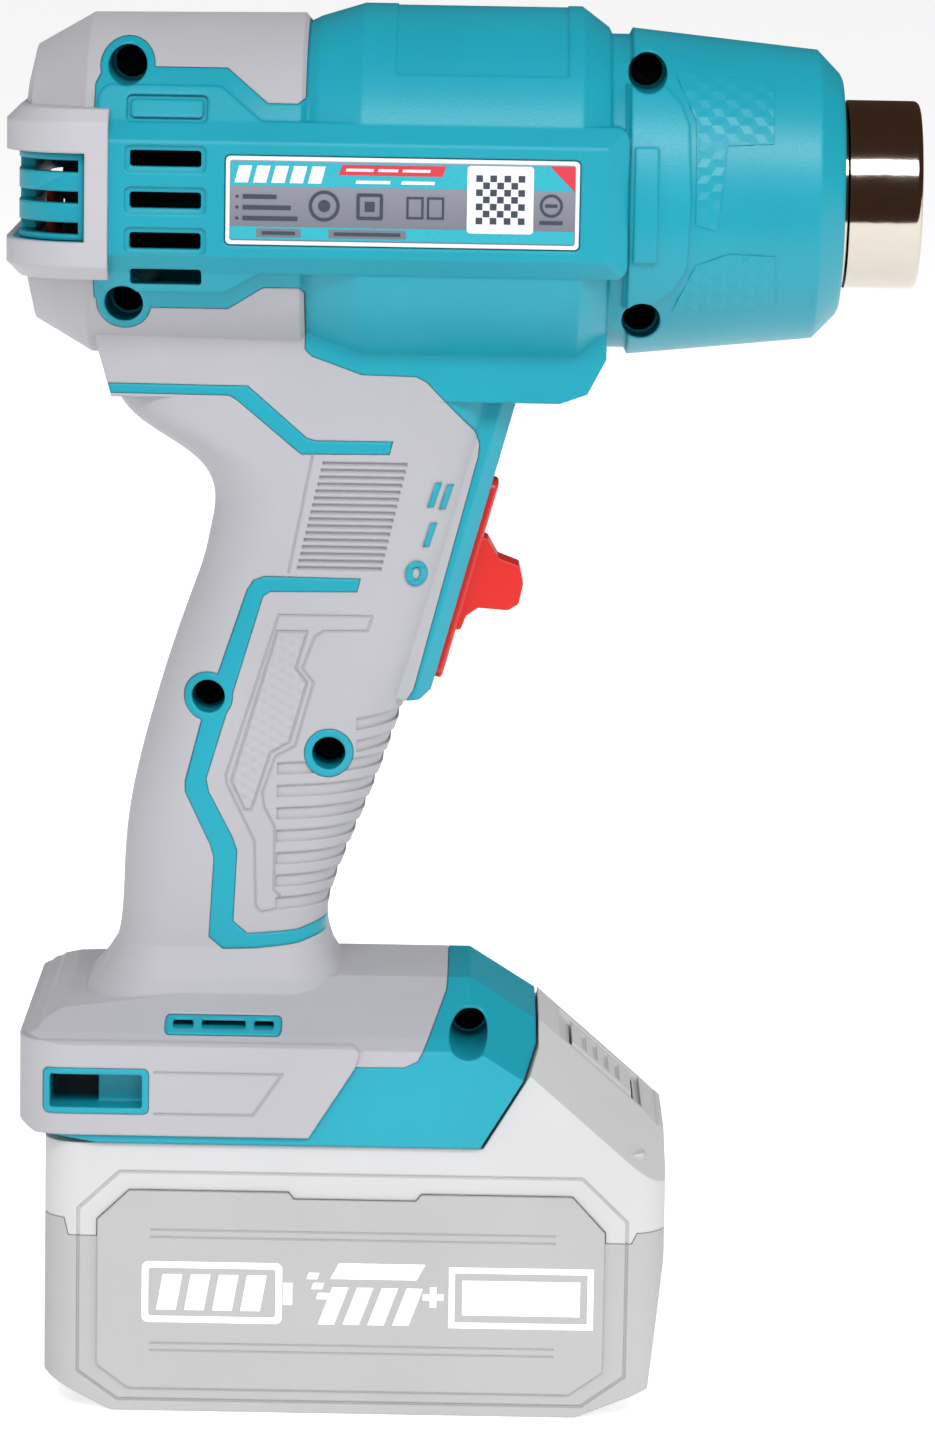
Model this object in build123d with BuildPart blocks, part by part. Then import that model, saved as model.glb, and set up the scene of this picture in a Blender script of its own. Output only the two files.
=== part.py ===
from build123d import *
from math import sin, cos, radians
import os

os.makedirs("parts", exist_ok=True)

# Cordless heat gun on a slide-on battery pack, in millimetres.
# +X is the way the air leaves, +Z is up, the clamshell seam is the plane Y = 0.

# ---- Driving dimensions ----
axis_z = 225.4          # height of the air path above the underside of the pack
drum_r = 33.9           # widest round of the barrel
bumper_r = 31.9         # soft rear round
wall = 2.8              # moulded wall, soft cover included
skin = 1.3              # soft cover over the moulding
cover_gap = 0.1         # ditch beside every soft cover
fit_gap = 0.3           # between parts that move past each other
pod_half = 34.5         # raised side panels
grip_half = 16.5        # half width of the handle
foot_half = 37.5        # half width of the foot
foot_z = 51.3           # underside of the foot
foot_top = 78.7
pack_half = 36.5        # half width of the battery pack
pack_top = 51.0         # deck of the battery pack
switch_lean = 15.4      # lean of the switch face from vertical, degrees
switch_x, switch_z = -5.5, 133.9   # low end of the switch face
switch_travel = 15.5    # from 0 to II
mouth_x = 68.3          # front of the barrel
nozzle_r = 17.5         # standard 35 mm nozzle spigot
tube_wall = 0.8
motor_r = 13.9
duct_r = 25.6           # bore of the fan duct
blade_ys = [-14.0, -7.0, 0.0, 7.0, 14.0]   # contact blades across the foot

air_axis = Axis((0, 0, axis_z), (1, 0, 0))
far = 60.0              # well outside the body on either side


# ---- Outer form: each function gives one block, shrunk all round by inset ----

def barrel_form(inset):
    with BuildPart() as form:
        with BuildSketch(Plane.XZ):
            with BuildLine():
                Polyline(
                    (-81.6, axis_z - 15), (-81.6, axis_z + 20), (-80.3, axis_z + 25.4),
                    (-70, axis_z + bumper_r - 0.5), (-31, axis_z + bumper_r), (-29.8, axis_z + 30.5),
                    (-28, axis_z + 31.4), (-20, axis_z + drum_r), (20, axis_z + drum_r),
                    (25, axis_z + 30.2), (25.6, axis_z + 29), (28.8, axis_z + 29),
                    (29.4, axis_z + 30.2), (63.6, axis_z + 26.7), (67.8, axis_z + 22.4),
                    (mouth_x, axis_z + 21.4), (mouth_x, axis_z - 15), close=True)
            make_face()
            if inset:
                offset(amount=-inset, kind=Kind.INTERSECTION)
            with Locations((0, axis_z + far / 2)):
                Rectangle(4 * far, far, mode=Mode.INTERSECT)
        revolve(axis=air_axis)
    return form.part


def pod_form(inset):
    """Flat-faced side panels with sloped rims, on both sides of the barrel."""
    with BuildPart() as form:
        with BuildSketch(Plane.XZ):
            with BuildLine():
                FilletPolyline(
                    (28.5, 239), (-38, 239), (-45.5, 245), (-67.5, 245), (-67.5, 207.7),
                    (-44.5, 207.7), (-38, 211.6), (28.5, 211.6), radius=2.5, close=True)
            make_face()
            if inset:
                offset(amount=-inset, kind=Kind.INTERSECTION)
        extrude(amount=far, both=True)
        with BuildSketch(Plane.YZ):
            with BuildLine():
                Polyline((0, 247), (25.5, 247), (31, 239), (pod_half, 235.4),
                         (pod_half, 214.9), (31, 211.4), (25.5, 204), (0, 204))
                mirror(about=Plane.YZ)
            make_face()
            if inset:
                offset(amount=-inset, kind=Kind.INTERSECTION)
        extrude(amount=2 * far, both=True, mode=Mode.INTERSECT)
        with BuildSketch(Plane.XY):
            with BuildLine():
                Polyline((-69, 0), (-69, 31.5), (-66, pod_half), (24.6, pod_half), (29, 30.5), (29, 0))
                mirror(about=Plane.XZ)
            make_face()
            if inset:
                offset(amount=-inset, kind=Kind.INTERSECTION)
        extrude(amount=5 * far, mode=Mode.INTERSECT)
    return form.part


tail_back, tail_l, tail_half = -83.4, 40.0, 34.0
tail_bottom, tail_high = 211.3, 28.4
frame_front = -65.4     # front edge of the frame round the tail


def tail_form(inset):
    """Rounded band round the back of the barrel that carries the intake grille."""
    with BuildPart() as form:
        with BuildSketch(Plane.XY.offset(tail_bottom + inset)):
            with Locations((tail_back + tail_l / 2, 0)):
                RectangleRounded(tail_l - 2 * inset, 2 * (tail_half - inset), 13 - inset)
        extrude(amount=tail_high - 2 * inset)
        rims = form.edges().group_by(Axis.Z)
        chamfer(rims[-1] + rims[0], 2.4)
        split(bisect_by=Plane.YZ.offset(frame_front - inset), keep=Keep.BOTTOM)
    return form.part


def neck_form(inset):
    """Block that joins the barrel to the handle."""
    with BuildPart() as form:
        with BuildSketch(Plane.XZ):
            with BuildLine():
                Polyline(
                    (-69.3, 212), (-69, 199), (-65.6, 187.2), (17, 187.2), (22, 189),
                    (25.4, 195.5), (25.4, 212), close=True)
            make_face()
            if inset:
                offset(amount=-inset, kind=Kind.INTERSECTION)
        extrude(amount=grip_half - inset, both=True)
    return form.part


def grip_slice(z, rear, front, corner, inset, flare=0.0):
    """Rounded slice of the handle between its back and its front."""
    with BuildSketch(Plane.XY.offset(z)) as section:
        with Locations(((rear + front) / 2, 0)):
            RectangleRounded(front - rear - 2 * inset, 2 * (grip_half + flare - inset), corner - inset)
    return section.sketch


def grip_form(inset):
    slices = [
        grip_slice(84, -64.2, -24.6, 9.5, inset),
        grip_slice(92, -63.2, -24.4, 10, inset),
        grip_slice(104, -62.7, -20.2, 11, inset),
        grip_slice(118, -60.4, -14.8, 12, inset),
        grip_slice(131, -57, -10.5, 12, inset),
        grip_slice(145, -52.6, -6.2, 12, inset),
        grip_slice(158, -48.3, -2.4, 12, inset),
        grip_slice(167, -46.8, 0.2, 12, inset),
        grip_slice(173, -48.6, 1.8, 12, inset),
        grip_slice(178, -54.6, 3.2, 12, inset),
        grip_slice(183, -62, 4.6, 12, inset),
        grip_slice(189, -66, 6, 12, inset),
        grip_slice(200, -68.6, 8, 12, inset),
    ]
    # foot of the handle, flared out into the top of the foot
    spread = [(64, 7.5), (72.5, 7.0), (75.5, 5.2), (78.5, 2.6), (81.5, 0.8), (84, 0.0)]
    flare = [grip_slice(z, -64.2 - out, -24.6 + out, 9.5 + out / 2, inset, out) for z, out in spread]
    with BuildPart() as form:
        loft(slices)
        loft(flare, ruled=True)
    return form.part


def switch_rise(z):
    """How far forward the leaning switch face is at a height."""
    return switch_x + (z - switch_z) * sin(radians(switch_lean)) / cos(radians(switch_lean))


def trigger_form(inset):
    """Leaning block in front of the handle that carries the slide switch."""
    with BuildPart() as form:
        with BuildSketch(Plane.XZ):
            with BuildLine():
                Polyline(
                    (-26, 134), (-11, 130.4), (switch_rise(130.6) - 1.6, 130.6),
                    (switch_rise(132.4), 132.4), (switch_rise(193), 193), (-26, 193), close=True)
            make_face()
            if inset:
                offset(amount=-inset, kind=Kind.INTERSECTION)
        extrude(amount=11 - inset, both=True)
        leaning = form.edges().filter_by(lambda edge: edge.center().X > switch_x + 4 and edge.length > 40)
        chamfer(leaning, 2.5)
    return form.part


crest_half = 14.0       # half width of the flat along the crests of the foot and the pack


def crest_form(start, end, fall, inset):
    """Long block under a sloping crest, flat in the middle and falling away to both sides."""
    run = Vector(end[0] - start[0], 0, end[1] - start[1])
    with BuildPart() as form:
        with BuildSketch(Plane(origin=(start[0], 0, start[1]), x_dir=(0, 1, 0), z_dir=run)):
            with BuildLine():
                Polyline((0, -2 * far), (far, -2 * far), (far, -fall * (far - crest_half)),
                         (crest_half, 0), (0, 0))
                mirror(about=Plane.YZ)
            make_face()
            if inset:
                offset(amount=-inset, kind=Kind.INTERSECTION)
        extrude(amount=3 * far, both=True)
    return form.part


def foot_form(inset):
    """Broad foot over the pack: side, front, plan and crest outlines meet."""
    with BuildPart() as form:
        with BuildSketch(Plane.XZ):
            with BuildLine():
                Polyline(
                    (-80, 55), (-80, 70.4), (-77.4, 71.6), (-76.4, 72.8), (-73.2, 74.2), (-66, 74.8),
                    (-22, foot_top), (2.4, foot_top),
                    (14.8, 71), (14.8, 68), (4.7, foot_z), (-66, foot_z), (-76, 53), close=True)
            make_face()
            if inset:
                offset(amount=-inset, kind=Kind.INTERSECTION)
        extrude(amount=far, both=True)
        with BuildSketch(Plane.YZ):
            with BuildLine():
                Polyline((0, 50), (foot_half, 50), (foot_half, 69.3), (34, 71.2),
                         (crest_half, foot_top + 0.2), (0, foot_top + 0.2))
                mirror(about=Plane.YZ)
            make_face()
            if inset:
                offset(amount=-inset, kind=Kind.INTERSECTION)
        extrude(amount=2 * far, both=True, mode=Mode.INTERSECT)
        with BuildSketch(Plane.XY):
            with Locations((-30, 0)):
                RectangleRounded(100 - 2 * inset, 2 * (foot_half - inset), 8 - inset)
        extrude(amount=2 * far, mode=Mode.INTERSECT)
        add(crest_form((2.4, foot_top), (14.8, 71), 0.3, inset), mode=Mode.INTERSECT)
    return form.part


def body_form(inset):
    """Whole outside of the tool, shrunk by inset."""
    with BuildPart() as form:
        add(barrel_form(inset))
        add(pod_form(inset))
        add(tail_form(inset))
        add(neck_form(inset))
        add(grip_form(inset))
        add(trigger_form(inset))
        add(foot_form(inset))
    return form.part


def barrel_step(outline, inner, outer):
    """Layer of the barrel's round between two depths, inside a side-view outline, on both sides."""
    with BuildPart() as layer:
        add(barrel_form(inner))
        with BuildSketch(Plane.XZ):
            with BuildLine():
                Polyline(*outline, close=True)
            make_face()
        extrude(amount=far, both=True, mode=Mode.INTERSECT)
        add(barrel_form(outer), mode=Mode.SUBTRACT)
    return layer.part


collar_outline = [
    (28, 246.4), (34.8, 246.2), (37.6, 243.4), (39.3, 239.6), (39.8, 226), (39.4, 213.4),
    (37, 209.2), (33.5, 206.6), (28, 205.6)]
tab_outline = [(29.6, 235.4), (33.8, 235.4), (33.8, 214.5), (29.6, 214.5)]
crown_outline = [(-14, 247.6), (-14, 262), (17.4, 262), (17.4, 247.6)]
collar_rise, tab_rise, crown_dip = 0.8, 1.5, 0.25

outside = body_form(0)
outside += barrel_step(collar_outline, -collar_rise, 1)
outside += barrel_step(tab_outline, -tab_rise, 1)
outside -= barrel_step(crown_outline, -1, crown_dip)
under_skin = body_form(skin)
inside = body_form(wall)


# ---- Blocks cut to a side-view outline ----

def side_block(outline, near=0.0, depth=far):
    """Block on the right side (-Y) under a side-view outline, starting near the seam."""
    with BuildPart() as block:
        with BuildSketch(Plane.XZ.offset(near)):
            with BuildLine():
                Polyline(*outline, close=True)
            make_face()
        extrude(amount=depth)
    return block.part


def side_box(x0, x1, z0, z1, near=0.0, depth=far, corner=0.0):
    """Block on the right side under a rectangle, with rounded corners if asked."""
    with BuildPart() as block:
        with BuildSketch(Plane.XZ.offset(near)):
            with Locations(((x0 + x1) / 2, (z0 + z1) / 2)):
                if corner:
                    RectangleRounded(x1 - x0, z1 - z0, corner)
                else:
                    Rectangle(x1 - x0, z1 - z0)
        extrude(amount=depth)
    return block.part


def side_pin(x, z, radius, near, depth):
    """Round block across the tool on the right side."""
    with BuildPart() as block:
        with BuildSketch(Plane.XZ.offset(near)):
            with Locations((x, z)):
                Circle(radius)
        extrude(amount=depth)
    return block.part


def sleeve(start, end, bore, radius):
    """Straight tube on the air axis, or a rod when bore is nought."""
    with BuildPart() as tube:
        with BuildSketch(Plane.YZ.offset(start)):
            with Locations((0, axis_z)):
                Circle(radius)
                if bore:
                    Circle(bore, mode=Mode.SUBTRACT)
        extrude(amount=end - start)
    return tube.part


def slab(x0, x1, y0, y1, z0, z1):
    """Plain block between six planes."""
    with BuildPart() as block:
        with Locations(((x0 + x1) / 2, (y0 + y1) / 2, (z0 + z1) / 2)):
            Box(x1 - x0, y1 - y0, z1 - z0)
    return block.part


# ---- Screws: seven places, seated in deep bores on the right side ----

barrel_bore, grip_bore = 3.55, 3.1
head_r = 2.9
head_h = 2.2
shank_r = 1.5
shank_l = 17.0
boss_r = 4.6
rear_ring, grip_ring = 4.9, 4.5    # bare rings of moulding round the bores in the soft covers

rear_top_screw = (-62.7, 248.3)
rear_low_screw = (-63.0, 205.2)
front_top_screw = (31.8, 248.3)
front_low_screw = (31.5, 203.2)
grip_back_screw = (-47.2, 131.5)
grip_front_screw = (-24.7, 121.2)
foot_screw = (2.2, 71.4)
barrel_seat = 6.0       # distance of a screw's seat from the seam
grip_seat = 5.0
foot_seat = 12.0
screws = [
    (rear_top_screw, barrel_seat, barrel_bore), (rear_low_screw, barrel_seat, barrel_bore),
    (front_top_screw, barrel_seat, barrel_bore), (front_low_screw, barrel_seat, barrel_bore),
    (grip_back_screw, grip_seat, grip_bore), (grip_front_screw, grip_seat, grip_bore),
    (foot_screw, foot_seat, barrel_bore)]

with BuildPart() as housing_screws:
    for (x, z), seat, bore in screws:
        add(side_pin(x, z, shank_r, seat - shank_l, shank_l))
        with BuildPart(mode=Mode.PRIVATE) as head:
            with BuildSketch(Plane.XZ.offset(seat)):
                with Locations((x, z)):
                    Circle(head_r)
            extrude(amount=head_h)
            fillet(head.edges().sort_by(Axis.Y)[0], 0.8)
            with BuildSketch(Plane.XZ.offset(seat + head_h)):
                with Locations((x, z)):
                    Rectangle(3.4, 0.9)
                    Rectangle(0.9, 3.4)
            extrude(amount=-1.2, mode=Mode.SUBTRACT)
        add(head.part)
housing_screws.part.label = "housing_screws"
export_step(housing_screws.part, "parts/housing_screws.step")


# ---- Soft cover outlines (side view) ----

bumper_outline = [
    (-95, 265), (-30.1, 265), (-30.1, 243), (-31.5, 242), (-37, 242), (-44.5, 248),
    (-66.8, 248), (-68.3, 245), (-68.3, 239.6), (-95, 239.6)]
grip_outline = [
    (-95, 211.4), (-68.3, 211.4), (-68.3, 206.4), (-66, 204.5), (-44, 204.5), (-37.5, 208.8),
    (-31, 208.8), (-30, 207.8), (-30, 196.5), (-28.8, 195.3), (-19.5, 192), (-9.5, 191.8),
    (-7.5, 190.8), (1.5, 181.5), (2.4, 179), (2.2, 176.5), (-9.1, 132.5), (-10.6, 130.2),
    (12, 124), (12, 95), (-1.5, 88), (-1.5, 81), (-2, 77), (-7, 67.5), (-9.5, 66.3),
    (-18.5, 66.2), (-27, 52.9), (-95, 52.9)]
upper_stripe = [
    (-75, 189.7), (-40.5, 189.5), (-29.5, 180), (-28, 179.6), (-13.7, 179.6), (-14.3, 177.3),
    (-30.5, 177.1), (-42.5, 187), (-44, 187.8), (-75, 188)]
lower_stripe = [
    (-19.3, 154), (-37, 154.2), (-39, 153.4), (-40.2, 151.5), (-48.5, 126.5), (-51.3, 115.5),
    (-51.3, 113.5), (-46.5, 103.5), (-45.8, 101), (-46.6, 86), (-44, 83.8), (-38, 84),
    (-30, 85), (-18, 88.4), (-18, 91), (-30, 87.5), (-39.5, 86.7), (-42.2, 89), (-41.6, 102.5),
    (-42.5, 105), (-47, 113.5), (-47.5, 116), (-37.3, 150.5), (-36, 151.4), (-19.9, 151.6)]
skirt_outline = [
    (-95, 70.3), (-18.8, 70.3), (-17.7, 69), (-18.6, 66.2), (-27, 52.9), (-95, 52.9)]


def cover_block(outline, bare, rings, gap):
    """Everything on the right side under a soft cover, less the bare stripes and rings."""
    with BuildPart() as block:
        with BuildSketch(Plane.XZ):
            with BuildLine():
                Polyline(*outline, close=True)
            make_face()
            if gap:
                offset(amount=-gap, kind=Kind.INTERSECTION)
            for stripe in bare:
                with BuildSketch(Plane.XY, mode=Mode.SUBTRACT):
                    with BuildLine():
                        Polyline(*stripe, close=True)
                    make_face()
                    if gap:
                        offset(amount=gap, kind=Kind.INTERSECTION)
            for place, radius in rings:
                with Locations(place):
                    Circle(radius + gap, mode=Mode.SUBTRACT)
        extrude(amount=far)
    return block.part


bumper_rings = [(rear_top_screw, rear_ring)]
grip_rings = [
    (rear_low_screw, rear_ring), (grip_back_screw, grip_ring), (grip_front_screw, grip_ring)]
grip_stripes = [upper_stripe, lower_stripe]
under_bumper = cover_block(bumper_outline, [], bumper_rings, 0) - under_skin
under_grip = cover_block(grip_outline, grip_stripes, grip_rings, 0) - under_skin
hook_window = side_box(-76, -56.4, 56.8, 65.5, 24, far, 1.2)
foot_vent = side_box(-54, -32.3, 71, 73.6, 20, far, 0.9)
label_bed = side_box(-44.4, 19.8, 216.9, 233.3, pod_half - 0.8, far, 1.0)


# ---- Clamshell ----

switch_plane = Plane(
    origin=(switch_x, 0, switch_z),
    x_dir=(sin(radians(switch_lean)), 0, cos(radians(switch_lean))),
    z_dir=(cos(radians(switch_lean)), 0, -sin(radians(switch_lean))))
strip_l = 38.9          # red strip along the leaning face
strip_half = 4.5
strip_proud = 1.5
recess_deep = 2.2
stem_at = 18.4          # stem and knob, up from the low end of the strip


def switch_block(up0, up1, half, deep, proud, corner=0.0):
    """Block on the leaning switch face, from deep below it to proud of it."""
    with BuildPart() as block:
        with BuildSketch(switch_plane.offset(-deep)):
            with Locations(((up0 + up1) / 2, 0)):
                if corner:
                    RectangleRounded(up1 - up0, 2 * half, corner)
                else:
                    Rectangle(up1 - up0, 2 * half)
        extrude(amount=deep + proud)
    return block.part


with BuildPart() as posts:
    for (x, z), seat, bore in screws:
        add(side_pin(x, z, boss_r, 0, far))
    add(outside, mode=Mode.INTERSECT)

with BuildPart() as bores:
    for (x, z), seat, bore in screws:
        add(side_pin(x, z, bore, seat, far))
        add(side_pin(x, z, shank_r + 0.1, -1, seat + 2))

duct_wall = 1.6
duct_seat = duct_r + duct_wall + 0.2
blind_vent, vent_rows = 241, [232.3, 224.8, 217.5, 210.7]
vent_back, vent_front, vent_rise = -61.5, -48.6, 1.5
vent_frame = 0.9        # sunk frame round each slot
frame_bottom, frame_top = 217.0, 233.0    # window in the tail band
frame_side = -69.6

with BuildPart() as cuts:
    # side intake slots
    for row in vent_rows:
        add(side_box(vent_back, vent_front, row - vent_rise, row + vent_rise, 20, far, 0.6))
    for row in vent_rows[:-1]:
        add(side_box(vent_back - vent_frame, vent_front + vent_frame, row - vent_rise - vent_frame,
                     row + vent_rise + vent_frame, pod_half - 0.5, far, 1.0))
    with BuildPart(mode=Mode.PRIVATE) as blind_slot:
        add(side_box(vent_back - vent_frame, vent_front + vent_frame, blind_vent - vent_rise - vent_frame,
                     blind_vent + vent_rise + vent_frame, 0, far, 1.0))
        add(side_box(vent_back, vent_front, blind_vent - vent_rise, blind_vent + vent_rise, 0, far, 0.6),
            mode=Mode.SUBTRACT)
        add(pod_form(0.7), mode=Mode.SUBTRACT)
    add(blind_slot.part)
    # window for the grille
    add(slab(-95, frame_side, -far, far, frame_bottom, frame_top))
    # mouth for the hot tube
    add(sleeve(60, 75, 0, 19.6))
    # side windows
    add(hook_window)
    add(foot_vent)
    add(label_bed)
    # switch recess and the slit for its stem
    add(switch_block(-0.6, strip_l + switch_travel + 0.8, strip_half + 0.4, recess_deep, 6))
    add(switch_block(stem_at - 2.6, stem_at + 2.6 + switch_travel, 1.9, 12, 1))
    # channel for the deck of the pack
    add(slab(-52, 20, -20.6, 20.6, 50, 58))
    add(slab(3, 20, -24.6, 24.6, 50, 60.4))

with BuildPart() as right_shell:
    add(outside)
    split(bisect_by=Plane.XZ, keep=Keep.TOP)
    add(inside, mode=Mode.SUBTRACT)
    # rounds inside that carry the duct, the hot tube and its flange
    add(sleeve(-36, -34, duct_seat, 29.5))
    add(sleeve(-18, -16, duct_seat, 31.6))
    add(sleeve(5.6, 8.1, 21, 31.6))
    add(sleeve(9.5, 12, 21, 31.6))
    add(sleeve(41, 43, 21.4, 27.4))
    # bed under the switch recess
    add(switch_block(-1.5, 57, 8, 5.0, -2.0))
    # roof over the battery channel
    add(slab(-50, 8, -35.5, 0, 60.4, 62.2))
    add(posts.part)
    split(bisect_by=Plane.XZ, keep=Keep.TOP)
    add(cuts.part, mode=Mode.SUBTRACT)
    add(under_bumper, mode=Mode.SUBTRACT)
    add(under_grip, mode=Mode.SUBTRACT)

with BuildPart() as housing_right:
    add(right_shell.part)
    add(bores.part, mode=Mode.SUBTRACT)
housing_right.part.label = "housing_right"
export_step(housing_right.part, "parts/housing_right.step")

with BuildPart() as housing_left:
    add(right_shell.part.mirror(Plane.XZ))
    for (x, z), seat, bore in screws:
        add(side_pin(x, z, shank_r + 0.05, seat - shank_l - 1, shank_l), mode=Mode.SUBTRACT)
housing_left.part.label = "housing_left"
export_step(housing_left.part, "parts/housing_left.step")


# ---- Soft covers ----

rib_pitch = 1.3
rib_rows = 16
line_wide, line_deep = 0.45, 0.22
finger_rows, finger_low, finger_pitch, finger_hollow, rib_deep = 9, 91.5, 4.25, 2.2, 0.5
finger_back, finger_short = -34.2, -19.6    # where the hollows start, low down and beside the screw
thumb_frame = [(-28.4, 176.8), (-32.6, 154.9)]
panel_outer = [
    (-17.8, 144.3), (-17, 147), (-34.3, 147), (-43.8, 116.6), (-43.6, 115), (-38.3, 104.2),
    (-38, 92), (-37, 90.8), (-27, 93)]
panel_inner = [
    (-17.8, 144.3), (-26, 144.1), (-27.6, 143), (-29.8, 137), (-27.7, 134.4), (-31, 122.4),
    (-34.6, 120.4), (-37, 113.4), (-36.6, 110.8), (-34.6, 107), (-34.6, 95), (-33.4, 93.9)]
strip_edge = [
    (-34.5, 144), (-29, 144), (-31, 137), (-28.9, 134.4), (-32, 123.2), (-35.6, 121),
    (-39, 110.2), (-40.2, 110.2), (-42.8, 115.6), (-34.5, 144)]
skirt_frame = [(-55.5, 64.8), (-32, 64.8), (-37.3, 57), (-55.5, 57)]
with BuildPart() as cover_marks:
    # thumb ribs: a leaning field of level grooves
    for row in range(rib_rows):
        rise = row * rib_pitch
        x0 = -31 + rise * 0.23
        add(side_box(x0, x0 + 15.6, 155.6 + rise, 156.25 + rise, grip_half - 0.5, 5))
    # fine lines that frame the thumb ribs and the inlaid panel
    with BuildSketch(Plane.XZ.offset(grip_half - line_deep)):
        for route in [thumb_frame, panel_outer, panel_inner, strip_edge]:
            with BuildLine():
                lines = Polyline(*route)
            trace(lines, line_wide)
    extrude(amount=3)
    # skirt panel
    with BuildSketch(Plane.XZ.offset(foot_half + 0.8 - line_deep)):
        with BuildLine():
            skirt_lines = Polyline(*skirt_frame)
        trace(skirt_lines, line_wide)
    extrude(amount=3)

with BuildPart() as finger_hollows:
    with BuildSketch(Plane.XZ):
        for row in range(finger_rows):
            low = finger_low + row * finger_pitch
            left = finger_back if row < finger_rows - 2 else finger_short
            with BuildLine():
                Polyline(
                    (left, low), (-8, low + 1.6), (-8, low + 1.6 + finger_hollow),
                    (left, low + finger_hollow), close=True)
            make_face()
    extrude(amount=far)
    add(grip_form(rib_deep), mode=Mode.SUBTRACT)

with BuildPart() as raised_foot:
    add(foot_form(-0.8))
    add(side_block(skirt_outline), mode=Mode.INTERSECT)
    add(under_skin, mode=Mode.SUBTRACT)

with BuildPart() as grip_cover_right:
    add(outside)
    add(cover_block(grip_outline, grip_stripes, grip_rings, cover_gap), mode=Mode.INTERSECT)
    add(under_skin, mode=Mode.SUBTRACT)
    add(raised_foot.part)
    for cut in [hook_window, foot_vent, cover_marks.part, finger_hollows.part]:
        add(cut, mode=Mode.SUBTRACT)
grip_cover_right.part.label = "grip_cover_right"
export_step(grip_cover_right.part, "parts/grip_cover_right.step")

with BuildPart() as grip_cover_left:
    add(grip_cover_right.part.mirror(Plane.XZ))
grip_cover_left.part.label = "grip_cover_left"
export_step(grip_cover_left.part, "parts/grip_cover_left.step")

with BuildPart() as bumper_right:
    add(outside)
    add(cover_block(bumper_outline, [], bumper_rings, cover_gap), mode=Mode.INTERSECT)
    add(under_skin, mode=Mode.SUBTRACT)
bumper_right.part.label = "bumper_right"
export_step(bumper_right.part, "parts/bumper_right.step")

with BuildPart() as bumper_left:
    add(bumper_right.part.mirror(Plane.XZ))
bumper_left.part.label = "bumper_left"
export_step(bumper_left.part, "parts/bumper_left.step")


# ---- Rear frame and intake grille ----

grille_rows = [219.3, 224.9, 230.5]
frame_proud, grille_sunk = 1.2, 1.1


def tail_band(outer, inner):
    """Stretch of the rounded tail between two depths."""
    with BuildPart() as band:
        add(tail_form(outer))
        add(tail_form(inner), mode=Mode.SUBTRACT)
        add(slab(-95, frame_front, -far, far, 205, 245), mode=Mode.INTERSECT)
    return band.part


with BuildPart() as rear_frame:
    add(tail_band(-frame_proud, 0))
    add(outside, mode=Mode.SUBTRACT)
    add(slab(-95, frame_side, -far, far, frame_bottom, frame_top), mode=Mode.SUBTRACT)
rear_frame.part.label = "rear_frame"
export_step(rear_frame.part, "parts/rear_frame.step")

with BuildPart() as rear_grille:
    add(tail_band(grille_sunk, grille_sunk + 2.8))
    add(slab(-95, frame_side - 0.2, -far, far, frame_bottom + 0.2, frame_top - 0.2), mode=Mode.INTERSECT)
    for row in grille_rows:
        add(slab(-95, -76, -14.8, -2, row - 1.1, row + 1.1), mode=Mode.SUBTRACT)
        add(slab(-95, -76, 2, 14.8, row - 1.1, row + 1.1), mode=Mode.SUBTRACT)
        add(slab(-76.5, -70.8, -far, far, row - 1.1, row + 1.1), mode=Mode.SUBTRACT)
        add(slab(-95, -76, 18, far, row - 1.1, row + 1.1), mode=Mode.SUBTRACT)
        add(slab(-95, -76, -far, -18, row - 1.1, row + 1.1), mode=Mode.SUBTRACT)
rear_grille.part.label = "rear_grille"
export_step(rear_grille.part, "parts/rear_grille.step")


# ---- Plates, hook sockets and foot vents on each side ----

with BuildPart() as label_right:
    add(side_box(-44.2, 19.6, 217.1, 233.1, pod_half - 0.7, 0.45, 0.9))
label_right.part.label = "label_right"
export_step(label_right.part, "parts/label_right.step")

with BuildPart() as hook_socket_right:
    add(foot_form(-0.8))
    add(side_box(-75.9, -56.5, 56.9, 65.4, 27, far, 1.1), mode=Mode.INTERSECT)
    add(side_box(-74.7, -57.7, 58, 64.3, 32.4, far, 0.5), mode=Mode.SUBTRACT)
    add(side_box(-74.7, -66, 58, 64.3, 20, far, 0.5), mode=Mode.SUBTRACT)
hook_socket_right.part.label = "hook_socket_right"
export_step(hook_socket_right.part, "parts/hook_socket_right.step")

with BuildPart() as foot_vent_right:
    add(outside)
    add(side_box(-53.9, -32.4, 71.1, 73.5, 20, far, 0.8), mode=Mode.INTERSECT)
    add(inside, mode=Mode.SUBTRACT)
    for start, end in [(-52.5, -48.7), (-47.2, -39), (-37.5, -33.8)]:
        add(side_box(start, end, 71.8, 72.9, 20, far, 0.4), mode=Mode.SUBTRACT)
foot_vent_right.part.label = "foot_vent_right"
export_step(foot_vent_right.part, "parts/foot_vent_right.step")

with BuildPart() as label_left:
    add(label_right.part.mirror(Plane.XZ))
label_left.part.label = "label_left"
export_step(label_left.part, "parts/label_left.step")

with BuildPart() as hook_socket_left:
    add(hook_socket_right.part.mirror(Plane.XZ))
hook_socket_left.part.label = "hook_socket_left"
export_step(hook_socket_left.part, "parts/hook_socket_left.step")

with BuildPart() as foot_vent_left:
    add(foot_vent_right.part.mirror(Plane.XZ))
foot_vent_left.part.label = "foot_vent_left"
export_step(foot_vent_left.part, "parts/foot_vent_left.step")


# ---- Slide switch ----

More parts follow.
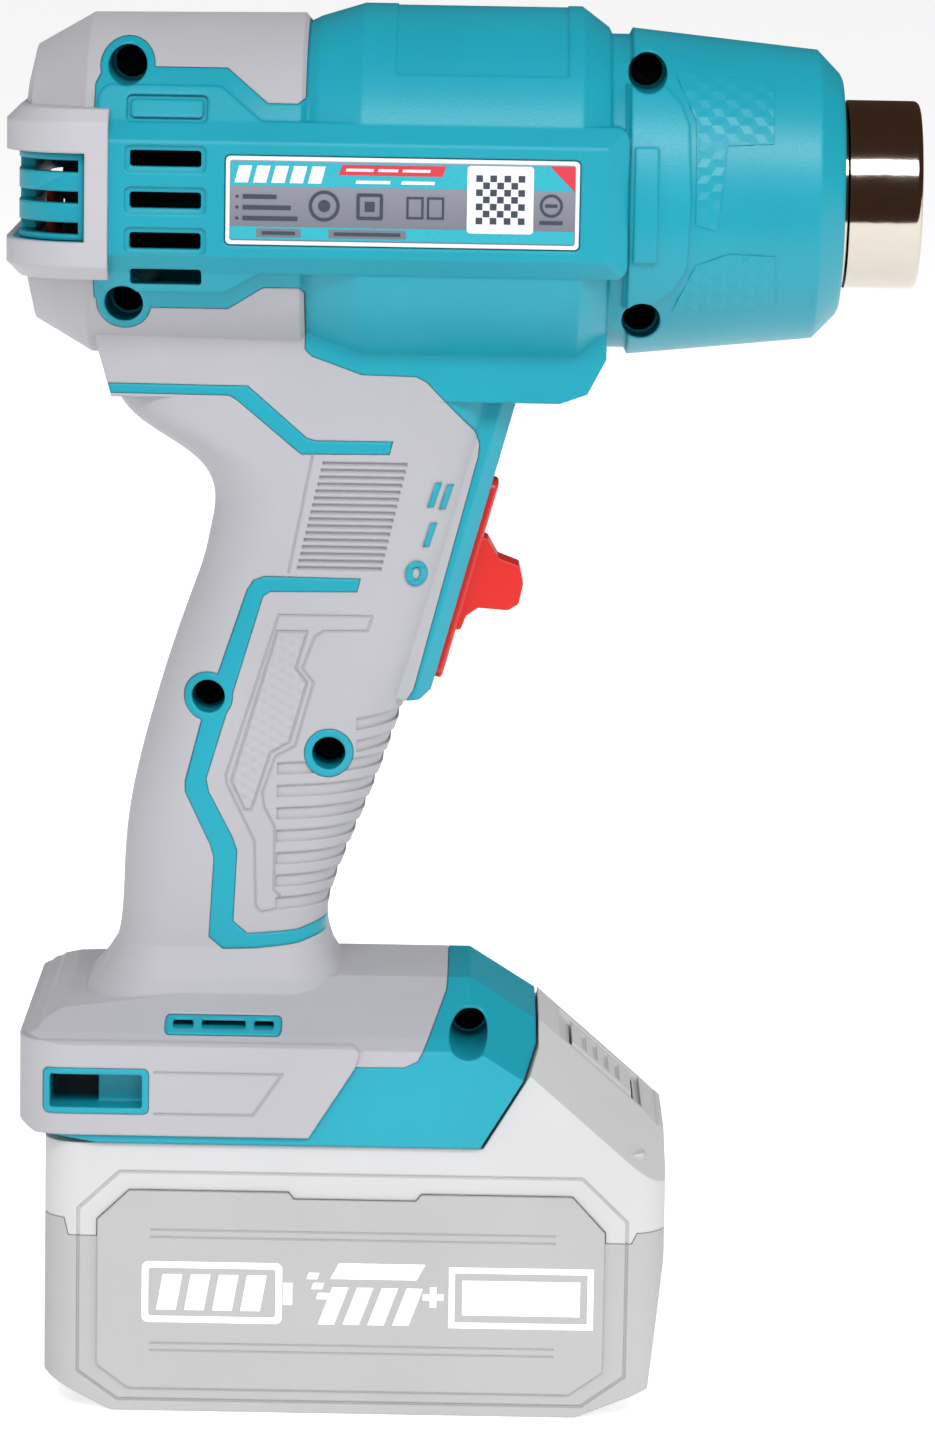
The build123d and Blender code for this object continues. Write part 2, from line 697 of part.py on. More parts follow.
with BuildPart() as switch_slider:
    add(switch_block(0, strip_l, strip_half, recess_deep - fit_gap, strip_proud, 2.0))
    fillet(switch_slider.faces().sort_by(Axis((0, 0, 0), switch_plane.z_dir))[-1].edges(), 0.7)
    with BuildSketch(Plane.XZ):
        with BuildLine():
            FilletPolyline(
                (1.5, 161), (4.2, 160.2), (6.2, 156.7), (10.2, 155.2), (11.0, 151.8), (10.2, 148),
                (8.2, 146.8), (2.6, 147.2), (0.4, 145.6), (-0.6, 143), (-2.6, 143), radius=0.7, close=True)
        make_face()
    extrude(amount=strip_half - 0.3, both=True)
    add(switch_block(stem_at - 2.2, stem_at + 2.2, 1.5, 9.0, 0))
switch_slider.part.label = "switch_slider"
export_step(switch_slider.part, "parts/switch_slider.step")

body_deep = 7.4         # front of the switch body under the leaning face
with BuildPart() as switch_body:
    with BuildSketch(switch_plane.offset(-body_deep - 12)):
        with Locations((stem_at + switch_travel / 2, 0)):
            Rectangle(32, 12)
    extrude(amount=12)
    with BuildSketch(switch_plane.offset(-body_deep)):
        with Locations((stem_at + switch_travel / 2, 0)):
            Rectangle(switch_travel + 6, 4)
    extrude(amount=-2.4, mode=Mode.SUBTRACT)
    with BuildSketch(switch_plane.offset(-body_deep)):
        with Locations((stem_at + switch_travel / 2, 0)):
            with GridLocations(28, 9, 2, 2):
                Circle(1.0)
    extrude(amount=-2, mode=Mode.SUBTRACT)
switch_body.part.label = "switch_body"
export_step(switch_body.part, "parts/switch_body.step")

with BuildPart() as switch_tags:
    with BuildSketch(switch_plane.offset(-body_deep - 12)):
        with Locations((stem_at + switch_travel / 2, 0)):
            with GridLocations(7.5, 6, 4, 2):
                Rectangle(2.8, 0.8)
    extrude(amount=-4)
switch_tags.part.label = "switch_tags"
export_step(switch_tags.part, "parts/switch_tags.step")


# ---- Motor, on the air axis behind the fan ----

motor_back, motor_front = -71.6, -37.6
can_wall = 1.2
shaft_r = 1.15
bush_r = 3.0
shaft_fit = 0.05
tag_y = 9.6             # supply tags, out from the axis

with BuildPart() as motor_can:
    add(sleeve(motor_back, motor_front, motor_r - can_wall, motor_r))
    add(sleeve(motor_front - 1.4, motor_front, bush_r, motor_r))
    with BuildSketch(Plane.YZ.offset(motor_front)):
        with Locations((0, axis_z)):
            with PolarLocations(8, 2):
                Circle(1.3)
            with PolarLocations(9.5, 4, start_angle=45):
                SlotOverall(4.5, 2)
    extrude(amount=-3, mode=Mode.SUBTRACT)
motor_can.part.label = "motor_can"
export_step(motor_can.part, "parts/motor_can.step")

with BuildPart() as motor_magnets:
    add(sleeve(motor_back + 4, motor_front - 4, 10.0, motor_r - can_wall - 0.02))
    add(slab(motor_back, motor_front, -2.2, 2.2, axis_z - 20, axis_z + 20), mode=Mode.SUBTRACT)
motor_magnets.part.label = "motor_magnets"
export_step(motor_magnets.part, "parts/motor_magnets.step")

with BuildPart() as motor_end_cap:
    add(sleeve(motor_back - 3, motor_back, bush_r, motor_r - 0.4))
    add(sleeve(motor_back, motor_back + 2, 9.5, motor_r - can_wall - 0.02))
    with BuildSketch(Plane.YZ.offset(motor_back - 3)):
        with Locations((0, axis_z)):
            with PolarLocations(8.2, 2, start_angle=90):
                SlotOverall(7, 3)
    extrude(amount=4, mode=Mode.SUBTRACT)
    for y in (-tag_y, tag_y):
        add(slab(motor_back - 4.4, motor_back - 3, y - 1.6, y + 1.6, axis_z - 2.4, axis_z + 2.4))
motor_end_cap.part.label = "motor_end_cap"
export_step(motor_end_cap.part, "parts/motor_end_cap.step")

with BuildPart() as motor_tags:
    for y in (-tag_y, tag_y):
        add(slab(motor_back - 7, motor_back - 4.4, y - 1.2, y + 1.2, axis_z - 0.25, axis_z + 0.25))
motor_tags.part.label = "motor_tags"
export_step(motor_tags.part, "parts/motor_tags.step")

with BuildPart() as motor_bushes:
    add(sleeve(motor_back - 4.2, motor_back - 0.5, shaft_r + shaft_fit, bush_r))
    add(sleeve(motor_front - 1.4, motor_front + 1.4, shaft_r + shaft_fit, bush_r))
motor_bushes.part.label = "motor_bushes"
export_step(motor_bushes.part, "parts/motor_bushes.step")

with BuildPart() as motor_shaft:
    add(sleeve(motor_back - 5.4, -21.5, 0, shaft_r))
    chamfer(motor_shaft.edges(), 0.2)
motor_shaft.part.label = "motor_shaft"
export_step(motor_shaft.part, "parts/motor_shaft.step")

armature_r = 9.4
armature_back, armature_l = motor_back + 7, 20.0
with BuildPart() as motor_armature:
    add(sleeve(armature_back, armature_back + armature_l, shaft_r, armature_r))
    with BuildSketch(Plane.YZ.offset(armature_back)):
        with Locations((0, axis_z)):
            with PolarLocations(armature_r, 5):
                Rectangle(4, 1.4)
            with PolarLocations(5.6, 5):
                Circle(2.2)
    extrude(amount=armature_l, mode=Mode.SUBTRACT)
motor_armature.part.label = "motor_armature"
export_step(motor_armature.part, "parts/motor_armature.step")

with BuildPart() as motor_windings:
    with BuildSketch(Plane.YZ.offset(armature_back - 2)):
        with Locations((0, axis_z)):
            with PolarLocations(5.6, 5):
                Circle(2.1)
    extrude(amount=armature_l + 4)
    for start in (armature_back - 2, armature_back + armature_l + 0.2):
        add(sleeve(start, start + 1.8, 3.6, 8.2))
motor_windings.part.label = "motor_windings"
export_step(motor_windings.part, "parts/motor_windings.step")

commutator_back = motor_back + 1.4
with BuildPart() as motor_commutator:
    add(sleeve(commutator_back, commutator_back + 3.4, shaft_r, 3.4))
    with BuildSketch(Plane.YZ.offset(commutator_back)):
        with Locations((0, axis_z)):
            with PolarLocations(3.2, 5, start_angle=36):
                Rectangle(1.2, 0.5)
    extrude(amount=2.4, mode=Mode.SUBTRACT)
motor_commutator.part.label = "motor_commutator"
export_step(motor_commutator.part, "parts/motor_commutator.step")

with BuildPart() as motor_brushes:
    for side in (-1, 1):
        add(slab(commutator_back + 0.2, commutator_back + 2.4, side * 6.2 - 2.4, side * 6.2 + 2.4,
                 axis_z - 1.2, axis_z + 1.2))
motor_brushes.part.label = "motor_brushes"
export_step(motor_brushes.part, "parts/motor_brushes.step")


# ---- Fan and its duct ----

fan_back, fan_front = -35.4, -22.6
hub_r = 7.0
blade_tip_r = duct_r - 0.8
blade_count = 9


def blade_slice(radius, pitch, chord):
    """Thin blade section at a radius above the axis, pitched about the radius."""
    with BuildSketch(Plane.XY.offset(axis_z + radius)) as section:
        with Locations(((fan_back + fan_front) / 2, 0)):
            with Locations(Location((0, 0, 0), (0, 0, pitch))):
                SlotOverall(chord, 1.3)
    return section.sketch


blade_slices = [blade_slice(hub_r - 1.2, 62, 11), blade_slice(16, 46, 13), blade_slice(duct_r + 1, 32, 14)]
with BuildPart() as blade:
    loft(blade_slices)
    add(sleeve(fan_back - 5, fan_front + 5, 0, blade_tip_r), mode=Mode.INTERSECT)

with BuildPart() as fan_impeller:
    add(sleeve(fan_back, fan_front, 0, hub_r))
    fillet(fan_impeller.faces().sort_by(Axis.X)[-1].edges(), 3)
    for turn in range(blade_count):
        add(blade.part.rotate(air_axis, turn * 360 / blade_count))
    add(sleeve(fan_back - 5, -21.5, 0, shaft_r), mode=Mode.SUBTRACT)
fan_impeller.part.label = "fan_impeller"
export_step(fan_impeller.part, "parts/fan_impeller.step")

duct_back, duct_step, duct_front = -44.0, -14.0, 5.4
throat_r = 17.4
lead_hole_r = 1.8
lead_ys = [-4.5, 4.5]
with BuildPart() as fan_duct:
    add(sleeve(duct_back, duct_step, duct_r, duct_r + duct_wall))
    add(sleeve(duct_back, motor_front - 0.4, motor_r + 0.02, motor_r + 1.5))
    for turn in range(5):
        with BuildPart(mode=Mode.PRIVATE) as vane:
            add(slab(duct_back, motor_front - 0.4, -0.8, 0.8,
                     axis_z + motor_r + 0.7, axis_z + duct_r + 0.7))
        add(vane.part.rotate(air_axis, 36 + turn * 72))
    with BuildSketch(Plane.XZ):
        with BuildLine():
            Polyline(
                (duct_step, axis_z + duct_r), (duct_step, axis_z + duct_r + duct_wall),
                (duct_front, axis_z + throat_r + duct_wall + 0.4), (duct_front, axis_z + throat_r),
                close=True)
        make_face()
    revolve(axis=air_axis)
    for y in lead_ys:
        with BuildSketch(Plane.XY.offset(axis_z)):
            with Locations((-2.0, y)):
                Circle(lead_hole_r)
        extrude(amount=-40, mode=Mode.SUBTRACT)
fan_duct.part.label = "fan_duct"
export_step(fan_duct.part, "parts/fan_duct.step")


# ---- Heater and nozzle ----

tube_back, tube_step, tube_front = 8.4, 69.4, 82.8
rim_r = 1.2
inner_tube_r = 17.1     # the tube is swelled to full size where it shows
mica_r = 15.8
former_half = 12.0
coil_r = 12.9
wire_r = 0.45

with BuildPart() as nozzle_tube:
    add(sleeve(tube_back, tube_step + tube_wall, inner_tube_r - tube_wall, inner_tube_r))
    add(sleeve(tube_step, tube_front - rim_r, nozzle_r - tube_wall, nozzle_r))
    # rolled rim
    with BuildSketch(Plane.XZ):
        with Locations((tube_front - rim_r, axis_z + nozzle_r - rim_r)):
            Circle(rim_r)
    revolve(axis=air_axis)
    # flange clamped between the rounds of the housing
    add(sleeve(tube_back, tube_back + tube_wall, inner_tube_r - tube_wall, 27.6))
nozzle_tube.part.label = "nozzle_tube"
export_step(nozzle_tube.part, "parts/nozzle_tube.step")

with BuildPart() as mica_tube:
    add(sleeve(10, 70, mica_r - 0.5, mica_r))
mica_tube.part.label = "mica_tube"
export_step(mica_tube.part, "parts/mica_tube.step")

former_back, former_mid, former_front = 14.0, 41.0, 68.0
board_half_t = 0.4
slot_half = 0.5
with BuildPart() as former_upright:
    add(slab(former_back, former_front, -board_half_t, board_half_t,
             axis_z - former_half, axis_z + former_half))
    for start in (former_back, former_front - 3):
        add(slab(start, start + 3, -board_half_t, board_half_t, axis_z - 15.1, axis_z + 15.1))
    add(slab(former_mid, 90, -1, 1, axis_z - slot_half, axis_z + slot_half), mode=Mode.SUBTRACT)
former_upright.part.label = "former_upright"
export_step(former_upright.part, "parts/former_upright.step")

with BuildPart() as former_level:
    add(slab(former_back, former_front, -former_half, former_half,
             axis_z - board_half_t, axis_z + board_half_t))
    for start in (former_back, former_front - 3):
        add(slab(start, start + 3, -15.1, 15.1, axis_z - board_half_t, axis_z + board_half_t))
    add(slab(-10, former_mid, -slot_half, slot_half, axis_z - 1, axis_z + 1), mode=Mode.SUBTRACT)
former_level.part.label = "former_level"
export_step(former_level.part, "parts/former_level.step")

coil_back, coil_l, coil_pitch = 19.0, 43.0, 3.6
with BuildPart() as heater_coil:
    with BuildLine() as turns:
        Helix(coil_pitch, coil_l, coil_r, center=(coil_back, 0, axis_z), direction=(1, 0, 0))
    with BuildSketch(Plane(origin=turns.line @ 0, z_dir=turns.line % 0)):
        Circle(wire_r)
    sweep()
heater_coil.part.label = "heater_coil"
export_step(heater_coil.part, "parts/heater_coil.step")

with BuildPart() as outlet_ring:
    add(sleeve(former_front + 0.1, former_front + 2.1, 12.6, mica_r - 0.55))
    add(slab(former_front + 0.1, former_front + 2.1, -0.9, 0.9, axis_z - 13, axis_z + 13))
    add(slab(former_front + 0.1, former_front + 2.1, -13, 13, axis_z - 0.9, axis_z + 0.9))
outlet_ring.part.label = "outlet_ring"
export_step(outlet_ring.part, "parts/outlet_ring.step")

with BuildPart() as thermal_cutout:
    with BuildSketch(Plane.YZ.offset(16.5)):
        with Locations((5, axis_z + 5)):
            Circle(1.7)
    extrude(amount=9)
    with BuildSketch(Plane.YZ.offset(15)):
        with Locations((5, axis_z + 5)):
            Circle(0.5)
    extrude(amount=13)
thermal_cutout.part.label = "thermal_cutout"
export_step(thermal_cutout.part, "parts/thermal_cutout.step")

with BuildPart() as heat_sleeve:
    add(sleeve(44, 63.2, 20.2, 20.8))
    for row in (49, 55, 61):
        for turn in range(8):
            with BuildPart(mode=Mode.PRIVATE) as hole:
                with BuildSketch(Plane.XY.offset(axis_z)):
                    with Locations((row, 0)):
                        Circle(1.5)
                extrude(amount=30)
            add(hole.part.rotate(air_axis, turn * 45 + 22), mode=Mode.SUBTRACT)
heat_sleeve.part.label = "heat_sleeve"
export_step(heat_sleeve.part, "parts/heat_sleeve.step")

with BuildPart() as mouth_ring:
    add(sleeve(mouth_x - 3.4, mouth_x - 0.5, inner_tube_r + 0.6, 19.5))
    add(sleeve(mouth_x - 4.9, mouth_x - 3.3, inner_tube_r + 0.6, 20.6))
mouth_ring.part.label = "mouth_ring"
export_step(mouth_ring.part, "parts/mouth_ring.step")


# ---- Electronics in the foot ----

board_z = 65.0
with BuildPart() as control_board:
    with BuildSketch(Plane.XY.offset(board_z)):
        with Locations((-23, 0)):
            RectangleRounded(38, 50, 2)
            with GridLocations(32, 44, 2, 2):
                Circle(1.5, mode=Mode.SUBTRACT)
    extrude(amount=1.6)
control_board.part.label = "control_board"
export_step(control_board.part, "parts/control_board.step")

with BuildPart() as board_posts:
    with BuildSketch(Plane.XY.offset(62.2)):
        with Locations((-23, 0)):
            with GridLocations(32, 44, 2, 2):
                Circle(2.6)
    extrude(amount=board_z - 62.2)
    with BuildSketch(Plane.XY.offset(board_z)):
        with Locations((-23, 0)):
            with GridLocations(32, 44, 2, 2):
                Circle(1.4)
    extrude(amount=2.4)
board_posts.part.label = "board_posts"
export_step(board_posts.part, "parts/board_posts.step")

with BuildPart() as board_heat_sink:
    add(slab(-36.5, -22, -22, -11, board_z + 1.6, board_z + 3.2))
    for fin in range(5):
        add(slab(-36.5, -22, -22 + fin * 2.5, -21 + fin * 2.5, board_z + 3.2, board_z + 5.8))
board_heat_sink.part.label = "board_heat_sink"
export_step(board_heat_sink.part, "parts/board_heat_sink.step")

with BuildPart() as board_capacitors:
    with BuildSketch(Plane.XY.offset(board_z + 1.6)):
        with Locations((-33, 16), (-24, 16)):
            Circle(3.1)
    extrude(amount=5.6)
    fillet(board_capacitors.faces().sort_by(Axis.Z)[-2:].edges(), 0.6)
board_capacitors.part.label = "board_capacitors"
export_step(board_capacitors.part, "parts/board_capacitors.step")

with BuildPart() as board_switches:
    with BuildSketch(Plane.XY.offset(board_z + 1.6)):
        with Locations((-12, -12), (-12, 0), (-12, 12)):
            Rectangle(9, 6)
    extrude(amount=2.2)
board_switches.part.label = "board_switches"
export_step(board_switches.part, "parts/board_switches.step")

blade_start, blade_end = -56.0, -38.0
with BuildPart() as terminal_block:
    add(slab(-63, -52, -19.5, 19.5, 54.3, 66))
    add(slab(-63, -58, -22, 22, 54.3, 58))
    for y in blade_ys:
        add(slab(blade_start, -50, y - 0.4, y + 0.4, 54.4, 57.6), mode=Mode.SUBTRACT)
terminal_block.part.label = "terminal_block"
export_step(terminal_block.part, "parts/terminal_block.step")

with BuildPart() as terminal_blades:
    for y in blade_ys:
        add(slab(blade_start, blade_end, y - 0.4, y + 0.4, 54.4, 57.6))
    chamfer(terminal_blades.edges().filter_by(Axis.Z).sort_by(Axis.X)[-10:], 0.25)
terminal_blades.part.label = "terminal_blades"
export_step(terminal_blades.part, "parts/terminal_blades.step")


# ---- Internal wires, each one run in its own plane across the tool ----

lead_r = 0.9


def lead(y, bend, route):
    """Insulated wire along straight runs joined by arcs, at a distance from the seam."""
    with BuildPart() as wire:
        with BuildLine(Plane.XZ.offset(-y)) as path:
            FilletPolyline(*route, radius=bend)
        with BuildSketch(Plane(origin=path.line @ 0, z_dir=path.line % 0)):
            Circle(lead_r)
        sweep()
    return wire.part


with BuildPart() as heater_leads:
    for y in lead_ys:
        add(lead(y, 4, [(-26, 66.7), (-26, 71.5), (-41, 85), (-42, 96), (-36, 126), (-33, 160),
                        (-18, 188), (-2, 200), (-2, 216), (13.5, 216)]))
heater_leads.part.label = "heater_leads"
export_step(heater_leads.part, "parts/heater_leads.step")

with BuildPart() as motor_leads:
    for y in (-tag_y, tag_y):
        add(lead(y, 4, [(-30, 66.7), (-30, 72), (-42, 84), (-44, 96), (-40, 126), (-37, 160),
                        (-46, 188), (-57, 199.2), (-68, 199.2), (-77.3, 210), (-77.3, 225.1)]))
motor_leads.part.label = "motor_leads"
export_step(motor_leads.part, "parts/motor_leads.step")

with BuildPart() as switch_leads:
    for y in (-1.4, 1.4):
        add(lead(y, 4, [(-26, 66.7), (-26, 72), (-37, 84), (-38.5, 96), (-33, 122), (-29, 142),
                        (-25, 150)]))
switch_leads.part.label = "switch_leads"
export_step(switch_leads.part, "parts/switch_leads.step")

with BuildPart() as supply_leads:
    for y in (-14, 14):
        add(lead(y, 3, [(-57.5, 66), (-57.5, 72), (-40.5, 72), (-40.5, 66.7)]))
supply_leads.part.label = "supply_leads"
export_step(supply_leads.part, "parts/supply_leads.step")


# ---- Battery pack ----

pack_back, pack_front = -76.0, 39.3
case_wall = 2.2
crest_back, crest_front = 71.0, 53.2    # height of the sloping deck at its two ends
tongue_half = 20.2      # neck of the deck tongue, between the rails of the foot
flange_half = 24.2
tongue_back = -46.0
split_gap = 0.12

split_outline = [
    (-95, 36.6), (-72, 36.6), (-71.2, 33.4), (-66, 33.4), (-66, 36.6), (-60, 42.3),
    (-30.5, 42.3), (-29.5, 41), (-7, 41), (-6, 42.3), (22, 42.3), (28.3, 35.5),
    (28.3, 33.5), (33, 33.5), (34, 35.5), (95, 35.5), (95, 95), (-95, 95)]
frame_line = [
    (-62, 2.2), (-69.4, 7.5), (-69.4, 38.5), (-61.8, 45.6), (23.8, 45.6), (32.2, 37.5), (32.2, 8),
    (24.2, 2.2), (-62, 2.2)]
panel_lines = [11.6, 13.0, 33.2, 34.6]      # fine lines moulded across the side panel
panel_outline = [
    (-60, 42.1), (22, 42.1), (28.1, 35.4), (28.1, 9), (22, 4.6), (-60, 4.6), (-65.8, 9), (-65.8, 36.5)]


def pack_form(inset):
    with BuildPart() as form:
        with BuildSketch(Plane.XZ):
            with BuildLine():
                Polyline(
                    (pack_back, pack_top), (pack_back, 6.5), (-63, 0), (23, 0),
                    (36.6, 5.5), (pack_front, 30), (pack_front, pack_top), close=True)
            make_face()
            if inset:
                offset(amount=-inset, kind=Kind.INTERSECTION)
        extrude(amount=far, both=True)
        with BuildSketch(Plane.XY):
            with Locations(((pack_back + pack_front) / 2, 0)):
                RectangleRounded(
                    pack_front - pack_back - 2 * inset, 2 * (pack_half - inset), 7 - inset)
        extrude(amount=2 * far, mode=Mode.INTERSECT)
    return form.part


def nose_form(inset):
    """Sloped front of the pack that closes up to the foot."""
    with BuildPart() as form:
        with BuildSketch(Plane.XZ):
            with BuildLine():
                Polyline(
                    (5.3, 48), (5.3, pack_top), (15.3, 67.6), (15.3, crest_back), (35.8, crest_front),
                    (38.4, 50.6), (pack_front, 48), (pack_front, 44), close=True)
            make_face()
            if inset:
                offset(amount=-inset, kind=Kind.INTERSECTION)
        extrude(amount=far, both=True)
        with BuildSketch(Plane.YZ):
            with BuildLine():
                Polyline((0, 40), (pack_half, 40), (pack_half, 67.5), (33, 70), (crest_half, 80), (0, 80))
                mirror(about=Plane.YZ)
            make_face()
            if inset:
                offset(amount=-inset, kind=Kind.INTERSECTION)
        extrude(amount=2 * far, both=True, mode=Mode.INTERSECT)
        with BuildSketch(Plane.XY):
            with Locations(((pack_back + pack_front) / 2, 0)):
                RectangleRounded(
                    pack_front - pack_back - 2 * inset, 2 * (pack_half - inset), 7 - inset)
        extrude(amount=2 * far, mode=Mode.INTERSECT)
    return form.part


def pack_crest(inset):
    """Block under the pack's sloping front, whose flat crest falls away to both sides."""
    return crest_form((15.3, crest_back), (35.8, crest_front), 0.25, inset)


def upright(places, radius, bottom, top):
    """Round uprights at the given places."""
    with BuildPart() as pins:
        with BuildSketch(Plane.XY.offset(bottom)):
            with Locations(*places):
                Circle(radius)
        extrude(amount=top - bottom)
    return pins.part


pack_screw_places = [(-69.5, -29.5), (-69.5, 29.5), (32.3, -29.5), (32.3, 29.5)]
above_split = side_block(split_outline, -far, 2 * far)
well_back, well_front, well_half, well_floor = 21.4, 33.6, 9.3, 49.0

with BuildPart() as pack_marks:
    with BuildSketch(Plane.XZ.offset(pack_half - 0.3)):
        with BuildLine():
            frame_edge = Polyline(*frame_line)
        trace(frame_edge, 0.5)
    extrude(amount=0.5)
    for z in panel_lines:
        add(side_box(-56, 19, z, z + 0.35, pack_half + 0.45, 1.0))
    mirror(about=Plane.XZ)

with BuildPart() as pack_posts:
    add(upright(pack_screw_places, 3.0, 0, 49.5))
    add(pack_form(0), mode=Mode.INTERSECT)

with BuildPart() as pack_lower_case:
    add(pack_form(0))
    add(side_block(panel_outline, -pack_half - 0.6, 2 * pack_half + 1.2))
    add(pack_form(case_wall), mode=Mode.SUBTRACT)
    add(pack_posts.part)
    with BuildSketch(Plane.XZ):
        with BuildLine():
            Polyline(*split_outline, close=True)
        make_face()
        offset(amount=split_gap, kind=Kind.INTERSECTION)
    extrude(amount=far, both=True, mode=Mode.SUBTRACT)
    add(upright(pack_screw_places, 1.6, -1, 50), mode=Mode.SUBTRACT)
    add(upright(pack_screw_places, 2.9, -1, 8), mode=Mode.SUBTRACT)
    add(pack_marks.part, mode=Mode.SUBTRACT)
pack_lower_case.part.label = "pack_lower_case"
export_step(pack_lower_case.part, "parts/pack_lower_case.step")

with BuildPart() as tongue:
    add(slab(tongue_back, 12, -tongue_half, tongue_half, 48, 56))
    add(slab(tongue_back, 12, -flange_half, flange_half, 54.5, 57.4))

with BuildPart() as pack_hollow:
    add(pack_form(case_wall))
    add(nose_form(case_wall))
    add(pack_crest(case_wall), mode=Mode.INTERSECT)
    add(slab(tongue_back + 2, 10, -18, 18, 40, 56.2))
    add(slab(9, 21, -7, 7, 46, 58))

with BuildPart() as button_well:
    add(slab(well_back - 1.4, well_front + 1.2, -well_half - 1.4, well_half + 1.4, well_floor - 1.4, 80))

with BuildPart() as pack_upper_case:
    add(pack_form(0))
    add(nose_form(0))
    add(pack_crest(0), mode=Mode.INTERSECT)
    add(tongue.part)
    add(above_split, mode=Mode.INTERSECT)
    add(pack_hollow.part, mode=Mode.SUBTRACT)
    with BuildPart(mode=Mode.PRIVATE) as well_walls:
        add(nose_form(0))
        add(pack_form(0))
        add(pack_crest(0), mode=Mode.INTERSECT)
        add(button_well.part, mode=Mode.INTERSECT)
    add(well_walls.part)
    with BuildPart(mode=Mode.PRIVATE) as upper_posts:
        add(pack_posts.part)
        add(above_split, mode=Mode.INTERSECT)
    add(upper_posts.part)
    with BuildPart(mode=Mode.PRIVATE) as button_bed:
        add(nose_form(-1))
        add(nose_form(0.8), mode=Mode.SUBTRACT)
        add(slab(19.4, 35.0, -12, 12, 52, 90), mode=Mode.INTERSECT)
    # shallow bed round the button, its well, and the way out for the latch arm
    add(button_bed.part, mode=Mode.SUBTRACT)
    add(slab(well_back, well_front, -well_half, well_half, well_floor, 90), mode=Mode.SUBTRACT)
    add(slab(12, 22, -6.6, 6.6, well_floor, 57), mode=Mode.SUBTRACT)
    add(slab(-3.2, 1.8, -6.6, 6.6, 50, 60), mode=Mode.SUBTRACT)
    for y in blade_ys:
        add(slab(tongue_back - 1, -33.5, y - 0.9, y + 0.9, 54, 60), mode=Mode.SUBTRACT)
    add(upright(pack_screw_places, shank_r + 0.05, 20, 45), mode=Mode.SUBTRACT)
    add(pack_marks.part, mode=Mode.SUBTRACT)
pack_upper_case.part.label = "pack_upper_case"
export_step(pack_upper_case.part, "parts/pack_upper_case.step")

with BuildPart() as release_button:
    add(nose_form(-0.1))
    add(slab(well_back + 0.4, well_front - 0.4, -well_half + 0.4, well_half - 0.4, 54.6, 90),
        mode=Mode.INTERSECT)
    # grip ridges
    for row in range(4):
        with BuildSketch(Plane.XZ):
            with Locations((24.2 + row * 2.1, 63.3 - row * 1.85)):
                Circle(0.55)
        extrude(amount=6.5, both=True, mode=Mode.SUBTRACT)
    # latch arm and hook
    add(slab(-2.6, 23.4, -6, 6, 52.6, 54.9))
    add(slab(-2.6, 1.2, -6, 6, 52.6, 58.4))
    with BuildSketch(Plane.XZ):
        with BuildLine():
            Polyline((-2.6, 58.4), (-2.6, 60), (-1.2, 60), (1.2, 58.4), close=True)
        make_face()
    extrude(amount=6, both=True)
release_button.part.label = "release_button"
export_step(release_button.part, "parts/release_button.step")

spring_r = 2.6
spring_bottom, spring_top = 49.3, 54.3
with BuildPart() as button_spring:
    with BuildLine() as turns:
        Helix(1.5, spring_top - spring_bottom, spring_r, center=(27.5, 0, spring_bottom))
    with BuildSketch(Plane(origin=turns.line @ 0, z_dir=turns.line % 0)):
        Circle(0.25)
    sweep()
button_spring.part.label = "button_spring"
export_step(button_spring.part, "parts/button_spring.step")

with BuildPart() as pack_screws:
    add(upright(pack_screw_places, 2.6, 6.0, 8.0))
    add(upright(pack_screw_places, shank_r, 8.0, 44.0))
pack_screws.part.label = "pack_screws"
export_step(pack_screws.part, "parts/pack_screws.step")

cell_r, cell_l = 9.1, 65.0
cell_pitch_x, cell_pitch_z = 19.0, 18.6
cell_centre = (-18.75, 20.9)
holder_back, holder_front = -66.2, 28.7

with BuildPart() as pack_cells:
    with BuildSketch(Plane.XZ.offset(-cell_l / 2)):
        with Locations(cell_centre):
            with GridLocations(cell_pitch_x, cell_pitch_z, 5, 2):
                Circle(cell_r)
    extrude(amount=cell_l)
pack_cells.part.label = "pack_cells"
export_step(pack_cells.part, "parts/pack_cells.step")

with BuildPart() as cell_holders:
    for start in (-29, 26):
        with BuildSketch(Plane.XZ.offset(start)):
            with BuildLine():
                Polyline(
                    (holder_back, 40.4), (holder_back, 6.5), (-62.5, 2.8), (23.5, 2.8),
                    (holder_front, 5.8), (holder_front, 40.4), close=True)
            make_face()
            with Locations(cell_centre):
                with GridLocations(cell_pitch_x, cell_pitch_z, 5, 2):
                    Circle(cell_r + 0.05, mode=Mode.SUBTRACT)
        extrude(amount=3)
cell_holders.part.label = "cell_holders"
export_step(cell_holders.part, "parts/cell_holders.step")

strap_t = 0.2
with BuildPart() as cell_straps:
    for start in (-cell_l / 2 - strap_t, cell_l / 2):
        with BuildSketch(Plane.XZ.offset(start)):
            with Locations(cell_centre):
                with GridLocations(cell_pitch_x, 1, 5, 1):
                    Rectangle(7, 26)
        extrude(amount=strap_t)
cell_straps.part.label = "cell_straps"
export_step(cell_straps.part, "parts/cell_straps.step")

pack_board_z = 43.0
with BuildPart() as pack_board:
    with BuildSketch(Plane.XY.offset(pack_board_z)):
        with Locations((-19, 0)):
            RectangleRounded(62, 52, 2)
    extrude(amount=1.6)
pack_board.part.label = "pack_board"
export_step(pack_board.part, "parts/pack_board.step")

